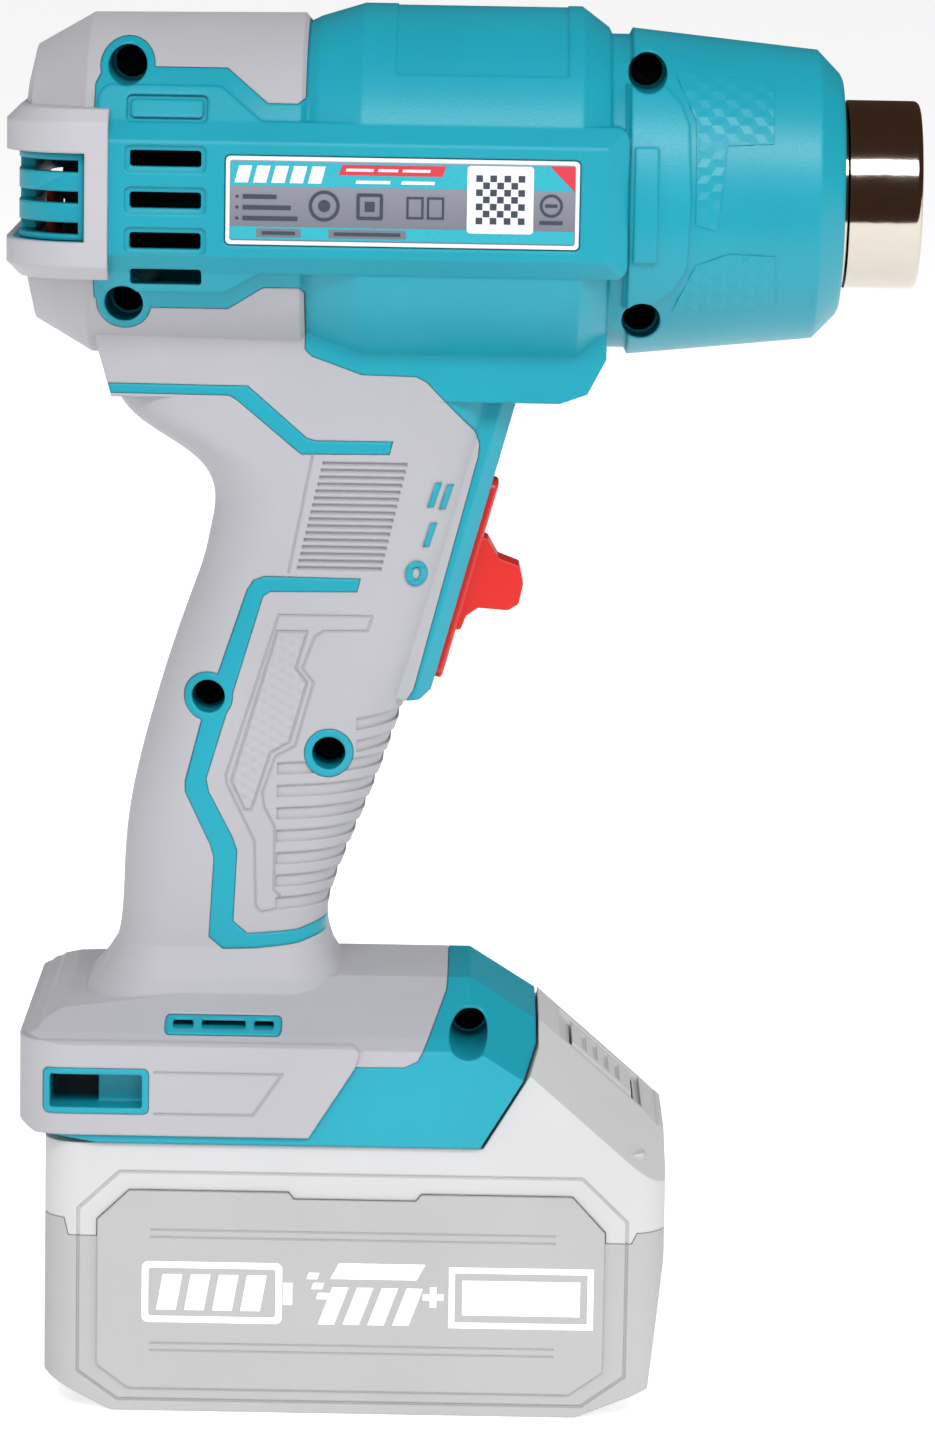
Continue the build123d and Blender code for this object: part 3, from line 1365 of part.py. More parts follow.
leaf_in, leaf_t = 0.75, 0.3
with BuildPart() as pack_contacts:
    for y in blade_ys:
        add(slab(-43.5, -35, y - leaf_in - leaf_t, y + leaf_in + leaf_t, pack_board_z + 1.6, 45.4))
        for side in (-1, 1):
            middle = y + side * (leaf_in + leaf_t / 2)
            add(slab(-43.5, -35, middle - leaf_t / 2, middle + leaf_t / 2, 45.2, 56.0))
pack_contacts.part.label = "pack_contacts"
export_step(pack_contacts.part, "parts/pack_contacts.step")
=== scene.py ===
import math
import bpy
from mathutils import Matrix, Vector


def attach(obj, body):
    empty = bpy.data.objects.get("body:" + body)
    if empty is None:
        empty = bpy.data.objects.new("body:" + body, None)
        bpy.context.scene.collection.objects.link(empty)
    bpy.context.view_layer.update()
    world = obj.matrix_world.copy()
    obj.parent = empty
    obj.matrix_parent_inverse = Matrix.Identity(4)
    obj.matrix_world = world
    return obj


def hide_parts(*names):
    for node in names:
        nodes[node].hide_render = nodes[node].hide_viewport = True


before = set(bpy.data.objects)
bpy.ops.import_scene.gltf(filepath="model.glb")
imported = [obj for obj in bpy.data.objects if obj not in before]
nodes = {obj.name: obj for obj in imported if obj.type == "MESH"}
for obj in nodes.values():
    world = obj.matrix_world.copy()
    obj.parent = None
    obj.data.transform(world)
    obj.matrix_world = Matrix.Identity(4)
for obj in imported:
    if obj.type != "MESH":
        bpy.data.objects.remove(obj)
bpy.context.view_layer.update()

MM = 0.001


# ---- Studio ----
# A pale milk-glass table under a white sky, a wide softbox above the front, weak fills at
# the front, the tail and the nozzle, a light behind, and a camera that looks square at the
# right side from a little above.

def put(tree, kind, inputs=None, **settings):
    """Adds a node: settings are its properties, inputs are values or the sockets to link."""
    node = tree.nodes.new(kind)
    for key, value in settings.items():
        setattr(node, key, value)
    for socket, value in (inputs or {}).items():
        if isinstance(value, bpy.types.NodeSocket):
            tree.links.new(value, node.inputs[socket])
        else:
            node.inputs[socket].default_value = value
    return node


def linear(hex_code):
    """The linear colour of an sRGB hex code."""
    parts = [int(hex_code[i:i + 2], 16) / 255 for i in (1, 3, 5)]
    return [p / 12.92 if p <= 0.04045 else ((p + 0.055) / 1.055) ** 2.4 for p in parts] + [1.0]


camera_aim = Vector((0.001, 0.0, 0.1262))
camera_distance = 1.1
camera_rise = math.radians(9.5)
camera_roll = math.radians(1.0)
lens_mm, sensor_mm = 146.9, 36
bpy.ops.object.camera_add()
camera = bpy.context.object
camera.name = "camera"
camera.data.lens = lens_mm
camera.data.sensor_width = sensor_mm
back = Vector((0, -math.cos(camera_rise), math.sin(camera_rise)))
upright = back.to_track_quat("Z", "Y").to_matrix().to_4x4()
place = Matrix.Translation(camera_aim + camera_distance * back)
camera.matrix_world = place @ upright @ Matrix.Rotation(camera_roll, 4, "Z")
bpy.context.scene.camera = camera
# plain colour management, so that a moulding shows the colour it is named with
bpy.context.scene.view_settings.view_transform = "Standard"

world = bpy.data.worlds.new("studio_air")
world.use_nodes = True
world.node_tree.nodes.clear()
bpy.context.scene.world = world
# white to look at and as soft light; bright metal mirrors a dim brown room instead
ray = put(world.node_tree, "ShaderNodeLightPath")
seen = put(world.node_tree, "ShaderNodeMath", {0: ray.outputs["Is Camera Ray"], 1: 0.5, 2: 0.5},
           operation="MULTIPLY_ADD")
room = put(world.node_tree, "ShaderNodeMix", {
    "Factor": ray.outputs["Is Glossy Ray"], 6: (1, 1, 1, 1), 7: linear("#644a3b")}, data_type="RGBA")
sky = put(world.node_tree, "ShaderNodeBackground", {"Color": room.outputs[2], "Strength": seen.outputs[0]})
put(world.node_tree, "ShaderNodeOutputWorld", {"Surface": sky.outputs[0]})

# the table ends in front of the object, so its bright sides mirror the dim room
table_width, table_length, table_front = 12, 14, -0.4
bpy.ops.mesh.primitive_plane_add(size=1, location=(0, table_front + table_length / 2, 0))
floor = bpy.context.object
floor.name = "floor"
floor.scale = (table_width, table_length, 1)
# milk glass, lit a little from below
milk_glass = bpy.data.materials.new("milk_glass_table")
milk_glass.use_nodes = True
glass = milk_glass.node_tree.nodes["Principled BSDF"]
glass.inputs["Base Color"].default_value = linear("#f2f2f2")
glass.inputs["Emission Color"].default_value = (1, 1, 1, 1)
glass.inputs["Emission Strength"].default_value = 0.5
glass.inputs["Roughness"].default_value = 0.9
floor.data.materials.append(milk_glass)

for name, spot, width, height, power in [
        ("softbox_front", (0.12, -1.35, 1.28), 1.5, 0.5, 26),
        ("fill_front", (0.0, -2.2, 0.45), 1.6, 0.7, 12),
        ("fill_rear", (-1.5, -0.7, 0.6), 0.9, 0.9, 4),
        ("fill_nose", (1.5, -0.6, 0.8), 0.9, 0.9, 8),
        ("rim_back", (0.0, 1.6, 1.5), 1.6, 0.6, 6)]:
    bpy.ops.object.light_add(type="AREA", location=spot)
    lamp = bpy.context.object
    lamp.name = name
    lamp.data.shape = "RECTANGLE"
    lamp.data.size = width
    lamp.data.size_y = height
    lamp.data.energy = power
    lamp.rotation_euler = (camera_aim - Vector(spot)).to_track_quat("-Z", "Y").to_euler()
    # only the softbox is mirrored in the bright tube
    lamp.visible_glossy = name == "softbox_front"


# ---- Teal clamshell, intake grille, hook sockets and foot vents ----
# Two halves moulded in coloured ABS, closed by screws from the right side. The mould
# was spark-eroded, so the skin is a fine satin grain with softly rounded edges.

def moulding(name, colour, roughness=0.45, grain=0.45, depth=0.012, tone=0.05, edge=0.35, lift=0.2,
             **sockets):
    """A moulded surface: grain and depth of the skin (mm), edge radius, and how much edges pale (part
    stress-whitening, part a painted highlight).
    """
    material = bpy.data.materials.new(name)
    material.use_nodes = True
    tree = material.node_tree
    shader = tree.nodes["Principled BSDF"]
    spot = put(tree, "ShaderNodeTexCoord").outputs["Object"]
    pits = put(tree, "ShaderNodeTexNoise", {"Vector": spot, "Scale": 1 / (grain * MM), "Detail": 2.0})
    # the melt cools unevenly over some 30 mm, which shifts the tone a little
    flow = put(tree, "ShaderNodeTexNoise", {"Vector": spot, "Scale": 1 / (30 * MM), "Detail": 3.0})
    rounded = put(tree, "ShaderNodeBevel", {"Radius": edge * MM}, samples=4)
    facing = put(tree, "ShaderNodeNewGeometry").outputs["Normal"]
    flat = put(tree, "ShaderNodeVectorMath", {0: rounded.outputs[0], 1: facing}, operation="DOT_PRODUCT")
    # edges painted paler: part stress-whitening of the moulding, part a painted highlight where light
    # glances on the rounded edge
    rim = put(tree, "ShaderNodeMapRange", {
        "Value": flat.outputs["Value"], "From Min": 1.0, "From Max": 0.8,
        "To Min": 1.0, "To Max": 1.0 + lift})
    shade = put(tree, "ShaderNodeMapRange", {
        "Value": flow.outputs["Fac"], "From Min": 0.3, "From Max": 0.7,
        "To Min": 1 - tone, "To Max": 1 + tone})
    both = put(tree, "ShaderNodeMath", {0: rim.outputs[0], 1: shade.outputs[0]}, operation="MULTIPLY")
    tint = put(tree, "ShaderNodeHueSaturation", {"Color": linear(colour), "Value": both.outputs[0]})
    satin = put(tree, "ShaderNodeMapRange", {
        "Value": pits.outputs["Fac"], "To Min": roughness - 0.08, "To Max": roughness + 0.08})
    bump = put(tree, "ShaderNodeBump", {
        "Height": pits.outputs["Fac"], "Distance": depth * MM, "Normal": rounded.outputs[0]})
    tree.links.new(tint.outputs[0], shader.inputs["Base Color"])
    tree.links.new(satin.outputs[0], shader.inputs["Roughness"])
    tree.links.new(bump.outputs[0], shader.inputs["Normal"])
    shader.inputs["IOR"].default_value = 1.5
    for socket, value in sockets.items():
        shader.inputs[socket.replace("_", " ")].default_value = value
    return material


def finish(material, *names):
    """Gives CAD nodes their material."""
    for name in names:
        for slot in nodes[name].material_slots:
            slot.material = material


# ABS: IOR 1.54, satin. Real erosion grain is about 0.1 mm; 0.5 mm is the finest that shows.
teal = "#06889a"
teal_abs = moulding("abs_teal_spark_eroded", teal, roughness=0.42, grain=0.5, depth=0.03, edge=0.9,
                    IOR=1.54, Specular_IOR_Level=0.4)
finish(teal_abs, "housing_right", "housing_left", "rear_grille", "hook_socket_right", "hook_socket_left",
       "foot_vent_right", "foot_vent_left")


# ---- Tumbling-block pads on the barrel ----
# Grip texture cut into the mould on both sides of the outlet end: rows of shallow cube
# corners, each a hexagon of three slanted faces, clipped to the outline of the pad.

def cube_corners(name, outline, size, rise, surface, material):
    """A field of cube corners inside an outline (mm, X and Z), laid on surface(x, z) = half width."""
    row_x, row_z = 3 * size, math.sqrt(3) * size
    clear_of_field = 10
    low_x, low_z = min(p[0] for p in outline) - size, min(p[1] for p in outline) - size
    wide = max(p[0] for p in outline) - low_x + size
    high = max(p[1] for p in outline) - low_z + size
    bpy.ops.object.select_all(action="DESELECT")
    corners = []
    for shift_x, shift_z in [(0, 0), (row_x / 2, row_z / 2)]:
        bpy.ops.mesh.primitive_circle_add(
            vertices=6, radius=size, fill_type="TRIFAN", location=(low_x + shift_x, low_z + shift_z, 0),
            rotation=(0, 0, math.radians(90)))
        bpy.ops.object.transform_apply(location=True, rotation=True, scale=True)
        corners.append(bpy.context.object)
        centre = Vector((low_x + shift_x, low_z + shift_z, 0))
        for vertex in bpy.context.object.data.vertices:
            arm = vertex.co - centre
            turn = round(math.degrees(math.atan2(arm.y, arm.x)) / 60) % 2
            vertex.co.z = 2 * rise if arm.length < size / 2 else rise * turn
    for piece in corners:
        piece.select_set(True)
    bpy.ops.object.join()
    field = bpy.context.object
    field.name = name
    for count, step in [(math.ceil(wide / row_x), (row_x, 0, 0)), (math.ceil(high / row_z), (0, row_z, 0))]:
        rows = field.modifiers.new("rows", "ARRAY")
        rows.count = count
        rows.use_relative_offset = False
        rows.use_constant_offset = True
        rows.constant_offset_displace = step
        rows.use_merge_vertices = True
        rows.merge_threshold = size / 50
        bpy.ops.object.modifier_apply(modifier="rows")
    backing = field.modifiers.new("backing", "SOLIDIFY")
    backing.thickness = 4 * rise
    backing.offset = -1
    bpy.ops.object.modifier_apply(modifier="backing")
    cutter_mesh = bpy.data.meshes.new("pad_outline")
    cutter_mesh.from_pydata([(x, z, -clear_of_field) for x, z in outline], [], [list(range(len(outline)))])
    cutter = bpy.data.objects.new("pad_outline", cutter_mesh)
    bpy.context.collection.objects.link(cutter)
    bpy.ops.object.select_all(action="DESELECT")
    cutter.select_set(True)
    bpy.context.view_layer.objects.active = cutter
    bpy.ops.object.mode_set(mode="EDIT")
    bpy.ops.mesh.select_all(action="SELECT")
    bpy.ops.mesh.extrude_region_move(TRANSFORM_OT_translate={"value": (0, 0, 2 * clear_of_field)})
    bpy.ops.mesh.select_all(action="SELECT")
    bpy.ops.mesh.normals_make_consistent()
    bpy.ops.object.mode_set(mode="OBJECT")
    bpy.context.view_layer.objects.active = field
    clip = field.modifiers.new("clip", "BOOLEAN")
    clip.operation = "INTERSECT"
    clip.object = cutter
    clip.solver = "EXACT"
    # neighbouring hexagons share their edges, so the field overlaps itself
    clip.use_self = True
    bpy.ops.object.modifier_apply(modifier="clip")
    bpy.data.objects.remove(cutter)
    for vertex in field.data.vertices:
        x, z, lift = vertex.co
        vertex.co = Vector((x, -surface(x, z) - lift, z)) * MM
    field.data.materials.clear()
    field.data.materials.append(material)
    return field


def other_side(piece, name):
    """A copy of a right-side piece on the left side, with its own mesh."""
    twin = bpy.data.objects.new(name, piece.data.copy())
    bpy.context.collection.objects.link(twin)
    twin.data.transform(Matrix.Scale(-1, 4, (0, 1, 0)))
    twin.data.flip_normals()
    return twin


axis_z = 225.4
barrel_cell, barrel_rise = 1.7, 0.13
shield_back, shield_back_r = 29.4, 30.2
shield_front, shield_front_r = 63.6, 26.7


def shield_surface(x, z):
    """Half width of the cone round the outlet end of the barrel."""
    along = (x - shield_back) / (shield_front - shield_back)
    radius = shield_back_r + along * (shield_front_r - shield_back_r)
    return math.sqrt(radius ** 2 - (z - axis_z) ** 2)


# the same ABS, with the crisp edges that the cutter left in the pads
teal_crisp = moulding("abs_teal_textured_pad", teal, roughness=0.42, grain=0.5, depth=0.02, edge=0.25,
                      IOR=1.54, Specular_IOR_Level=0.4)
upper_pad = [
    (36.6, 249), (54.8, 246.8), (54.8, 236.2), (46.4, 235.8), (44.6, 220.5), (40.8, 221.5), (40.6, 240)]
lower_pad = [(41, 214), (47, 216.2), (55.5, 215.8), (56, 206.2), (37, 205)]
for name, outline in [("barrel_pad_upper", upper_pad), ("barrel_pad_lower", lower_pad)]:
    pad = cube_corners(name + "_right", outline, barrel_cell, barrel_rise, shield_surface, teal_crisp)
    for piece in [pad, other_side(pad, name + "_left")]:
        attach(piece, "tool")


# ---- Soft covers: rear bumper and handle ----
# Thermoplastic elastomer moulded over the hard halves. It is matt and a little hazy,
# with the finest grain, and its edges meet the ABS in a narrow ditch.

cover_grey = "#98989d"
tpe_grey = moulding("tpe_overmould_grey", cover_grey, roughness=0.62, grain=0.5, depth=0.035, tone=0.03,
                    edge=0.6, lift=0.12, IOR=1.5, Sheen_Weight=0.12, Sheen_Roughness=0.5)
finish(tpe_grey, "grip_cover_right", "grip_cover_left", "bumper_right", "bumper_left")

# the textured strip between the handle's teal lines, let into the same elastomer
tpe_crisp = moulding("tpe_textured_pad", cover_grey, roughness=0.62, grain=0.5, depth=0.02, tone=0.03,
                     edge=0.1, lift=0.05, IOR=1.5, Sheen_Weight=0.12, Sheen_Roughness=0.5)
handle_cell, handle_rise, handle_face = 1.15, 0.14, 16.5
strip_outline = [
    (-34.3, 143.7), (-29.3, 143.7), (-31.3, 137), (-29.2, 134.3), (-32.3, 123.3), (-35.8, 121.2),
    (-39.2, 110.5), (-40, 110.5), (-42.4, 115.6)]
strip = cube_corners(
    "handle_pad_right", strip_outline, handle_cell, handle_rise, lambda x, z: handle_face, tpe_crisp)
for piece in [strip, other_side(strip, "handle_pad_left")]:
    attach(piece, "tool")


# ---- Rear frame ----
# A separate hard frame, moulded in pale grey ABS, that clips round the tail and holds
# the intake grille. It is smoother and a shade lighter than the soft covers.

frame_abs = moulding("abs_pale_grey_frame", "#a3a2a7", roughness=0.5, grain=0.6, depth=0.01, tone=0.03,
                     edge=0.9, lift=0.08, IOR=1.54)
finish(frame_abs, "rear_frame")


# ---- Housing screws ----
# Steel screws for plastics with a black oxide finish, sunk in deep bores: nearly black,
# with a dull, oily gloss on the rim of each head.

def metal(name, colour, roughness, grain=0.6, stretch=(1, 1, 1), depth=0.004, tone=0.12, edge=0.2):
    """A metal skin: grain in mm, stretched along the way it was drawn, rolled or brushed."""
    material = bpy.data.materials.new(name)
    material.use_nodes = True
    tree = material.node_tree
    shader = tree.nodes["Principled BSDF"]
    spot = put(tree, "ShaderNodeTexCoord").outputs["Object"]
    run = put(tree, "ShaderNodeMapping", {"Vector": spot, "Scale": stretch})
    marks = put(tree, "ShaderNodeTexNoise", {
        "Vector": run.outputs[0], "Scale": 1 / (grain * MM), "Detail": 4.0})
    shade = put(tree, "ShaderNodeMapRange", {
        "Value": marks.outputs["Fac"], "From Min": 0.3, "From Max": 0.7, "To Min": 1 - tone, "To Max": 1.0})
    tint = put(tree, "ShaderNodeHueSaturation", {"Color": linear(colour), "Value": shade.outputs[0]})
    satin = put(tree, "ShaderNodeMapRange", {
        "Value": marks.outputs["Fac"], "To Min": roughness * 0.7, "To Max": roughness * 1.3})
    rounded = put(tree, "ShaderNodeBevel", {"Radius": edge * MM}, samples=4)
    bump = put(tree, "ShaderNodeBump", {
        "Height": marks.outputs["Fac"], "Distance": depth * MM, "Normal": rounded.outputs[0]})
    tree.links.new(tint.outputs[0], shader.inputs["Base Color"])
    tree.links.new(satin.outputs[0], shader.inputs["Roughness"])
    tree.links.new(bump.outputs[0], shader.inputs["Normal"])
    shader.inputs["Metallic"].default_value = 1.0
    return material


black_oxide = metal("steel_black_oxide", "#17171a", 0.4, grain=0.5)
finish(black_oxide, "housing_screws")


# ---- Rating plates ----
# Self-adhesive film on a flat bed each side: brushed silver-grey film, printed with
# bands, rules and plain generic symbols instead of any name, figures or marks.

def flat_shape(name, outlines, thick, face, material, lift=0.0):
    """Outlines in X and Z (mm), filled, given a thickness and laid on the right side's y = -face."""
    curve = bpy.data.curves.new(name, "CURVE")
    curve.dimensions = "2D"
    curve.fill_mode = "BOTH"
    curve.extrude = thick / 2
    for outline in outlines:
        line = curve.splines.new("POLY")
        line.points.add(len(outline) - 1)
        for point, (x, z) in zip(line.points, outline):
            point.co = (x, z, 0, 1)
        line.use_cyclic_u = True
    piece = bpy.data.objects.new(name, curve)
    bpy.context.collection.objects.link(piece)
    bpy.ops.object.select_all(action="DESELECT")
    piece.select_set(True)
    bpy.context.view_layer.objects.active = piece
    bpy.ops.object.convert(target="MESH")
    piece = bpy.context.object
    piece.rotation_euler.x = math.radians(90)
    piece.location.y = -(face + thick / 2 + lift) * MM
    piece.scale = (MM, MM, MM)
    bpy.ops.object.transform_apply(location=True, rotation=True, scale=True)
    piece.data.materials.append(material)
    return piece


def box_line(x0, z0, x1, z1, slant=0.0):
    """Four corners of a bar, its top shifted by slant."""
    return [(x0, z0), (x1, z0), (x1 + slant, z1), (x0 + slant, z1)]


def ring_line(x, z, rx, rz, corner=None, steps=28):
    """An ellipse, or a rounded rectangle of half sizes rx and rz when corner is given."""
    points = []
    for i in range(steps):
        turn = 2 * math.pi * (i + 0.5) / steps
        if corner is None:
            points.append((x + rx * math.cos(turn), z + rz * math.sin(turn)))
        else:
            side_x = math.copysign(rx - corner, math.cos(turn))
            side_z = math.copysign(rz - corner, math.sin(turn))
            points.append((x + side_x + corner * math.cos(turn), z + side_z + corner * math.sin(turn)))
    return points


plate_face, ink = 34.25, 0.03
plate_x, plate_z, plate_half_x, plate_half_z = -12.3, 225.1, 31.9, 8.0
brush_grain, brush_depth = 0.25, 0.004
film = bpy.data.materials.new("polyester_film_silver")
film.use_nodes = True
tree = film.node_tree
spot = put(tree, "ShaderNodeTexCoord").outputs["Object"]
height = put(tree, "ShaderNodeSeparateXYZ", {0: spot}).outputs["Z"]
# silver-grey that darkens towards the lower edge of the plate
fade = put(tree, "ShaderNodeMapRange", {
    "Value": height, "From Min": (plate_z - 7.6) * MM, "From Max": (plate_z + 7.9) * MM,
    "To Min": 0.62, "To Max": 1.1})
lines = put(tree, "ShaderNodeMapping", {"Vector": spot, "Scale": (0.03, 1, 1)})
brushed = put(tree, "ShaderNodeTexNoise", {
    "Vector": lines.outputs[0], "Scale": 1 / (brush_grain * MM), "Detail": 2.0})
grey = put(tree, "ShaderNodeHueSaturation", {"Color": linear("#8e919d"), "Value": fade.outputs[0]})
film_bump = put(tree, "ShaderNodeBump", {"Height": brushed.outputs["Fac"], "Distance": brush_depth * MM})
skin = tree.nodes["Principled BSDF"]
tree.links.new(grey.outputs[0], skin.inputs["Base Color"])
tree.links.new(film_bump.outputs[0], skin.inputs["Normal"])
skin.inputs["Metallic"].default_value = 0.25
skin.inputs["Roughness"].default_value = 0.3
skin.inputs["Coat Weight"].default_value = 0.6
skin.inputs["Coat Roughness"].default_value = 0.12
finish(film, "label_right", "label_left")


def screen_ink(name, colour):
    """A thin, even screen ink with a slight orange-peel gloss."""
    return moulding(name, colour, roughness=0.3, grain=0.8, depth=0.003, tone=0.02, edge=0.03)


ink_white = screen_ink("screen_ink_white", "#cdd0d2")
ink_teal = screen_ink("screen_ink_teal", "#2b9aaa")
ink_red = screen_ink("screen_ink_red", "#bf3340")
ink_dark = screen_ink("screen_ink_slate", "#3a424e")

# under the rest: the white border and the teal bands above and below the silver field
border = [ring_line(plate_x, plate_z, plate_half_x - 0.05, plate_half_z - 0.05, 0.8),
          ring_line(plate_x, plate_z, plate_half_x - 0.75, plate_half_z - 0.75, 0.5)]
band_rear, band_front = -43.3, 18.7
bands = [box_line(band_rear, 227.7, band_front, 232.1), box_line(band_rear, 218.1, band_front, 220.4)]
# the white field of the checker, a row of slanted blocks, and short rules
white_over = [ring_line(5.3, 225.9, 6.0, 6.1, 0.7)]
for step in range(5):
    white_over.append(box_line(-42.6 + 3.3 * step, 228.3, -40.2 + 3.3 * step, 231.4, 0.8))
for start, end in [(-22.6, -17.6), (-16.8, -13.2), (-12.4, -7.4)]:
    white_over.append(box_line(start, 230.6, end, 231.1, 0.1))
for start, end in [(-20.8, -14.6), (-12.6, -6.6)]:
    white_over.append(box_line(start, 228.4, end, 229, 0.1))
red_fields = [box_line(-23.9, 229.9, -5.2, 231.8, 0.7), [(14.2, 232.1), (18.7, 232.1), (18.7, 227.5)]]
grey_boxes = [box_line(-38.6, 218.5, -30.6, 220.1), box_line(-25.6, 218.5, -11.6, 220.1)]
# three dotted rules of growing length, and a bar in each grey box
rule_z, rule_pitch = 225.8, 1.95
dark_over = []
for row, end in enumerate([-35, -32.4, -31.2]):
    z = rule_z - rule_pitch * row
    dark_over.append(ring_line(-42.1, z, 0.3, 0.3, steps=10))
    dark_over.append(box_line(-41.1, z - 0.4, end, z + 0.4))
for start, end in [(-37.6, -31.6), (-24.6, -12.6)]:
    dark_over.append(box_line(start, 218.95, end, 219.6))
# a ring with a centre dot, two nested squares, an open pair of panels, a barred disc
for radius in [2.8, 2.2, 1.1]:
    dark_over.append(ring_line(-26.4, 224.3, radius, radius))
dark_over += [ring_line(-18.2, 224.3, 2.4, 2.4, 0.5), ring_line(-18.2, 224.3, 1.8, 1.8, 0.3),
              box_line(-19.1, 223.4, -17.3, 225.2)]
for x0, x1 in [(-11.6, -8.5), (-7.9, -4.8)]:
    dark_over += [box_line(x0, 222.2, x1, 226.2), box_line(x0 + 0.4, 222.6, x1 - 0.4, 225.8)]
dark_over += [ring_line(14.5, 225, 2.1, 2.1), ring_line(14.5, 225, 1.6, 1.6),
              box_line(13.4, 224.7, 15.6, 225.3), box_line(12.4, 221.6, 16.6, 222.3)]
# a plain checker
checker, squares, pitch, square = [], 7, 1.27, 1.2
for i in range(squares):
    for k in range(squares):
        if (i + k) % 2 == 0:
            x, z = 0.9 + pitch * i, 221.5 + pitch * k
            checker.append(box_line(x, z, x + square, z + square))
for name, shapes, layer, material in [
        ("plate_bands", bands, 0, ink_teal), ("plate_border", border, 0, ink_white),
        ("plate_red_fields", red_fields, 1, ink_red), ("plate_grey_boxes", grey_boxes, 1, film),
        ("plate_white_print", white_over, 2, ink_white), ("plate_dark_print", dark_over, 2, ink_dark),
        ("plate_checker", checker, 3, ink_dark)]:
    print_right = flat_shape(name + "_right", shapes, ink, plate_face, material, layer * ink)
    for piece in [print_right, other_side(print_right, name + "_left")]:
        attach(piece, "tool")


# ---- Slide switch and its marks ----
# The slider is polished red ABS. The three position marks on the handle are raised in
# the teal of the housing: 0 for off, and one bar or two for the two heats. They follow
# the rounded side of the grip cover.

red_abs = moulding("abs_red_polished", "#c2211b", roughness=0.33, grain=0.9, depth=0.006, tone=0.03,
                   edge=0.5, lift=0.1, IOR=1.54)
finish(red_abs, "switch_slider")

marks = [
    ring_line(-8.9, 155, 2.1, 2.45), ring_line(-8.9, 155, 0.7, 1.05),
    box_line(-7.8, 160, -6.6, 164.5, 1.4),
    box_line(-7.1, 167.5, -5.9, 172.1, 1.5), box_line(-4.9, 167.0, -3.7, 171.6, 1.5)]
mark_thick, mark_face, mark_sink = 0.4, 16.3, 0.05
mark_right = flat_shape("switch_marks_right", marks, mark_thick, mark_face, teal_abs)
# each point is moved in or out until the mark lies a hair deep in the cover
cover = nodes["grip_cover_right"]
into_cover = cover.matrix_world.inverted()
inward = into_cover.to_3x3() @ Vector((0, 1, 0))
outside = -60 * MM
for vertex in mark_right.data.vertices:
    x, y, z = vertex.co
    met, landing = cover.ray_cast(into_cover @ Vector((x, outside, z)), inward)[:2]
    if met:
        vertex.co.y = (cover.matrix_world @ landing).y + y + (mark_face + mark_sink) * MM
for piece in [mark_right, other_side(mark_right, "switch_marks_left")]:
    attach(piece, "tool")


# ---- Outlet tube ----
# Drawn steel tube, swelled where it shows, its lip rolled inwards, bright nickel plated:
# a hard mirror with a faint warm cast. Its flange is clamped between ribs of the housing.

tube_r, neck_r, tube_wall = 17.5, 17.1, 0.8
tube_back, tube_step, tube_front = 8.4, 69.4, 82.8
flange_r, lip_r = 27.6, 1.2
profile = [(tube_back, neck_r - tube_wall), (tube_back, flange_r), (tube_back + tube_wall, flange_r),
           (tube_back + tube_wall, neck_r), (tube_step - 0.4, neck_r), (tube_step, tube_r)]
# the rolled lip, from the outside of the tube round to its inside
for i in range(15):
    turn = math.radians(90 - 18 * i)
    profile.append((tube_front - lip_r + lip_r * math.cos(turn), tube_r - lip_r + lip_r * math.sin(turn)))
profile += [(tube_front - 2.1, tube_r - tube_wall), (tube_step, tube_r - tube_wall),
            (tube_step - 0.4, neck_r - tube_wall)]
outline = bpy.data.meshes.new("outlet_tube")
count = len(profile)
outline.from_pydata([(x * MM, 0, (axis_z + r) * MM) for x, r in profile],
                    [(i, (i + 1) % count) for i in range(count)], [])
tube = bpy.data.objects.new("outlet_tube", outline)
bpy.context.collection.objects.link(tube)
bpy.ops.object.select_all(action="DESELECT")
tube.select_set(True)
bpy.context.view_layer.objects.active = tube
bpy.ops.object.mode_set(mode="EDIT")
bpy.ops.mesh.select_all(action="SELECT")
bpy.ops.mesh.spin(steps=144, angle=2 * math.pi, center=(0, 0, axis_z * MM), axis=(1, 0, 0))
bpy.ops.mesh.select_all(action="SELECT")
bpy.ops.mesh.remove_doubles(threshold=0.00001)
bpy.ops.mesh.normals_make_consistent()
bpy.ops.object.mode_set(mode="OBJECT")
bpy.ops.object.shade_smooth_by_angle(angle=math.radians(35))
# the plating follows the draw marks of the tube: faint streaks along it, 1.5 mm apart
nickel = metal("steel_nickel_plated", "#bfb8ad", 0.1, grain=1.5, stretch=(0.5, 1, 1), depth=0.012, tone=0.05)
tube.data.materials.append(nickel)
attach(tube, "tool")
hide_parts("nozzle_tube")


# ---- Heater and the liners of the outlet ----
# Resistance wire wound on crossed mica cards inside a mica tube, a steatite spacer at the
# mouth, a thermal cutout, and a perforated steel sleeve that keeps the heat off the ABS.

black_nylon = moulding("nylon_black_glass_filled", "#1d1e21", roughness=0.52, grain=0.7, depth=0.015,
                       tone=0.1, edge=0.25, IOR=1.53)
mica = moulding("mica_sheet_pressed", "#a89b7c", roughness=0.28, grain=2.2, depth=0.01, tone=0.22,
                edge=0.05, IOR=1.58, Coat_Weight=0.3)
heater_wire = metal("nickel_chrome_wire", "#8a8079", 0.38, grain=0.4)
steatite = moulding("steatite_fired", "#d9d3c2", roughness=0.55, grain=0.6, depth=0.012, tone=0.06,
                    edge=0.15, IOR=1.6)
zinc_steel = metal("steel_zinc_plated", "#b9bcc1", 0.3, grain=1.6, tone=0.2)
finish(black_nylon, "mouth_ring", "fan_duct", "fan_impeller", "switch_body", "terminal_block",
       "motor_end_cap")
finish(mica, "mica_tube", "former_upright", "former_level")
finish(heater_wire, "heater_coil")
finish(steatite, "outlet_ring", "thermal_cutout")
finish(zinc_steel, "heat_sleeve", "pack_screws", "motor_armature")


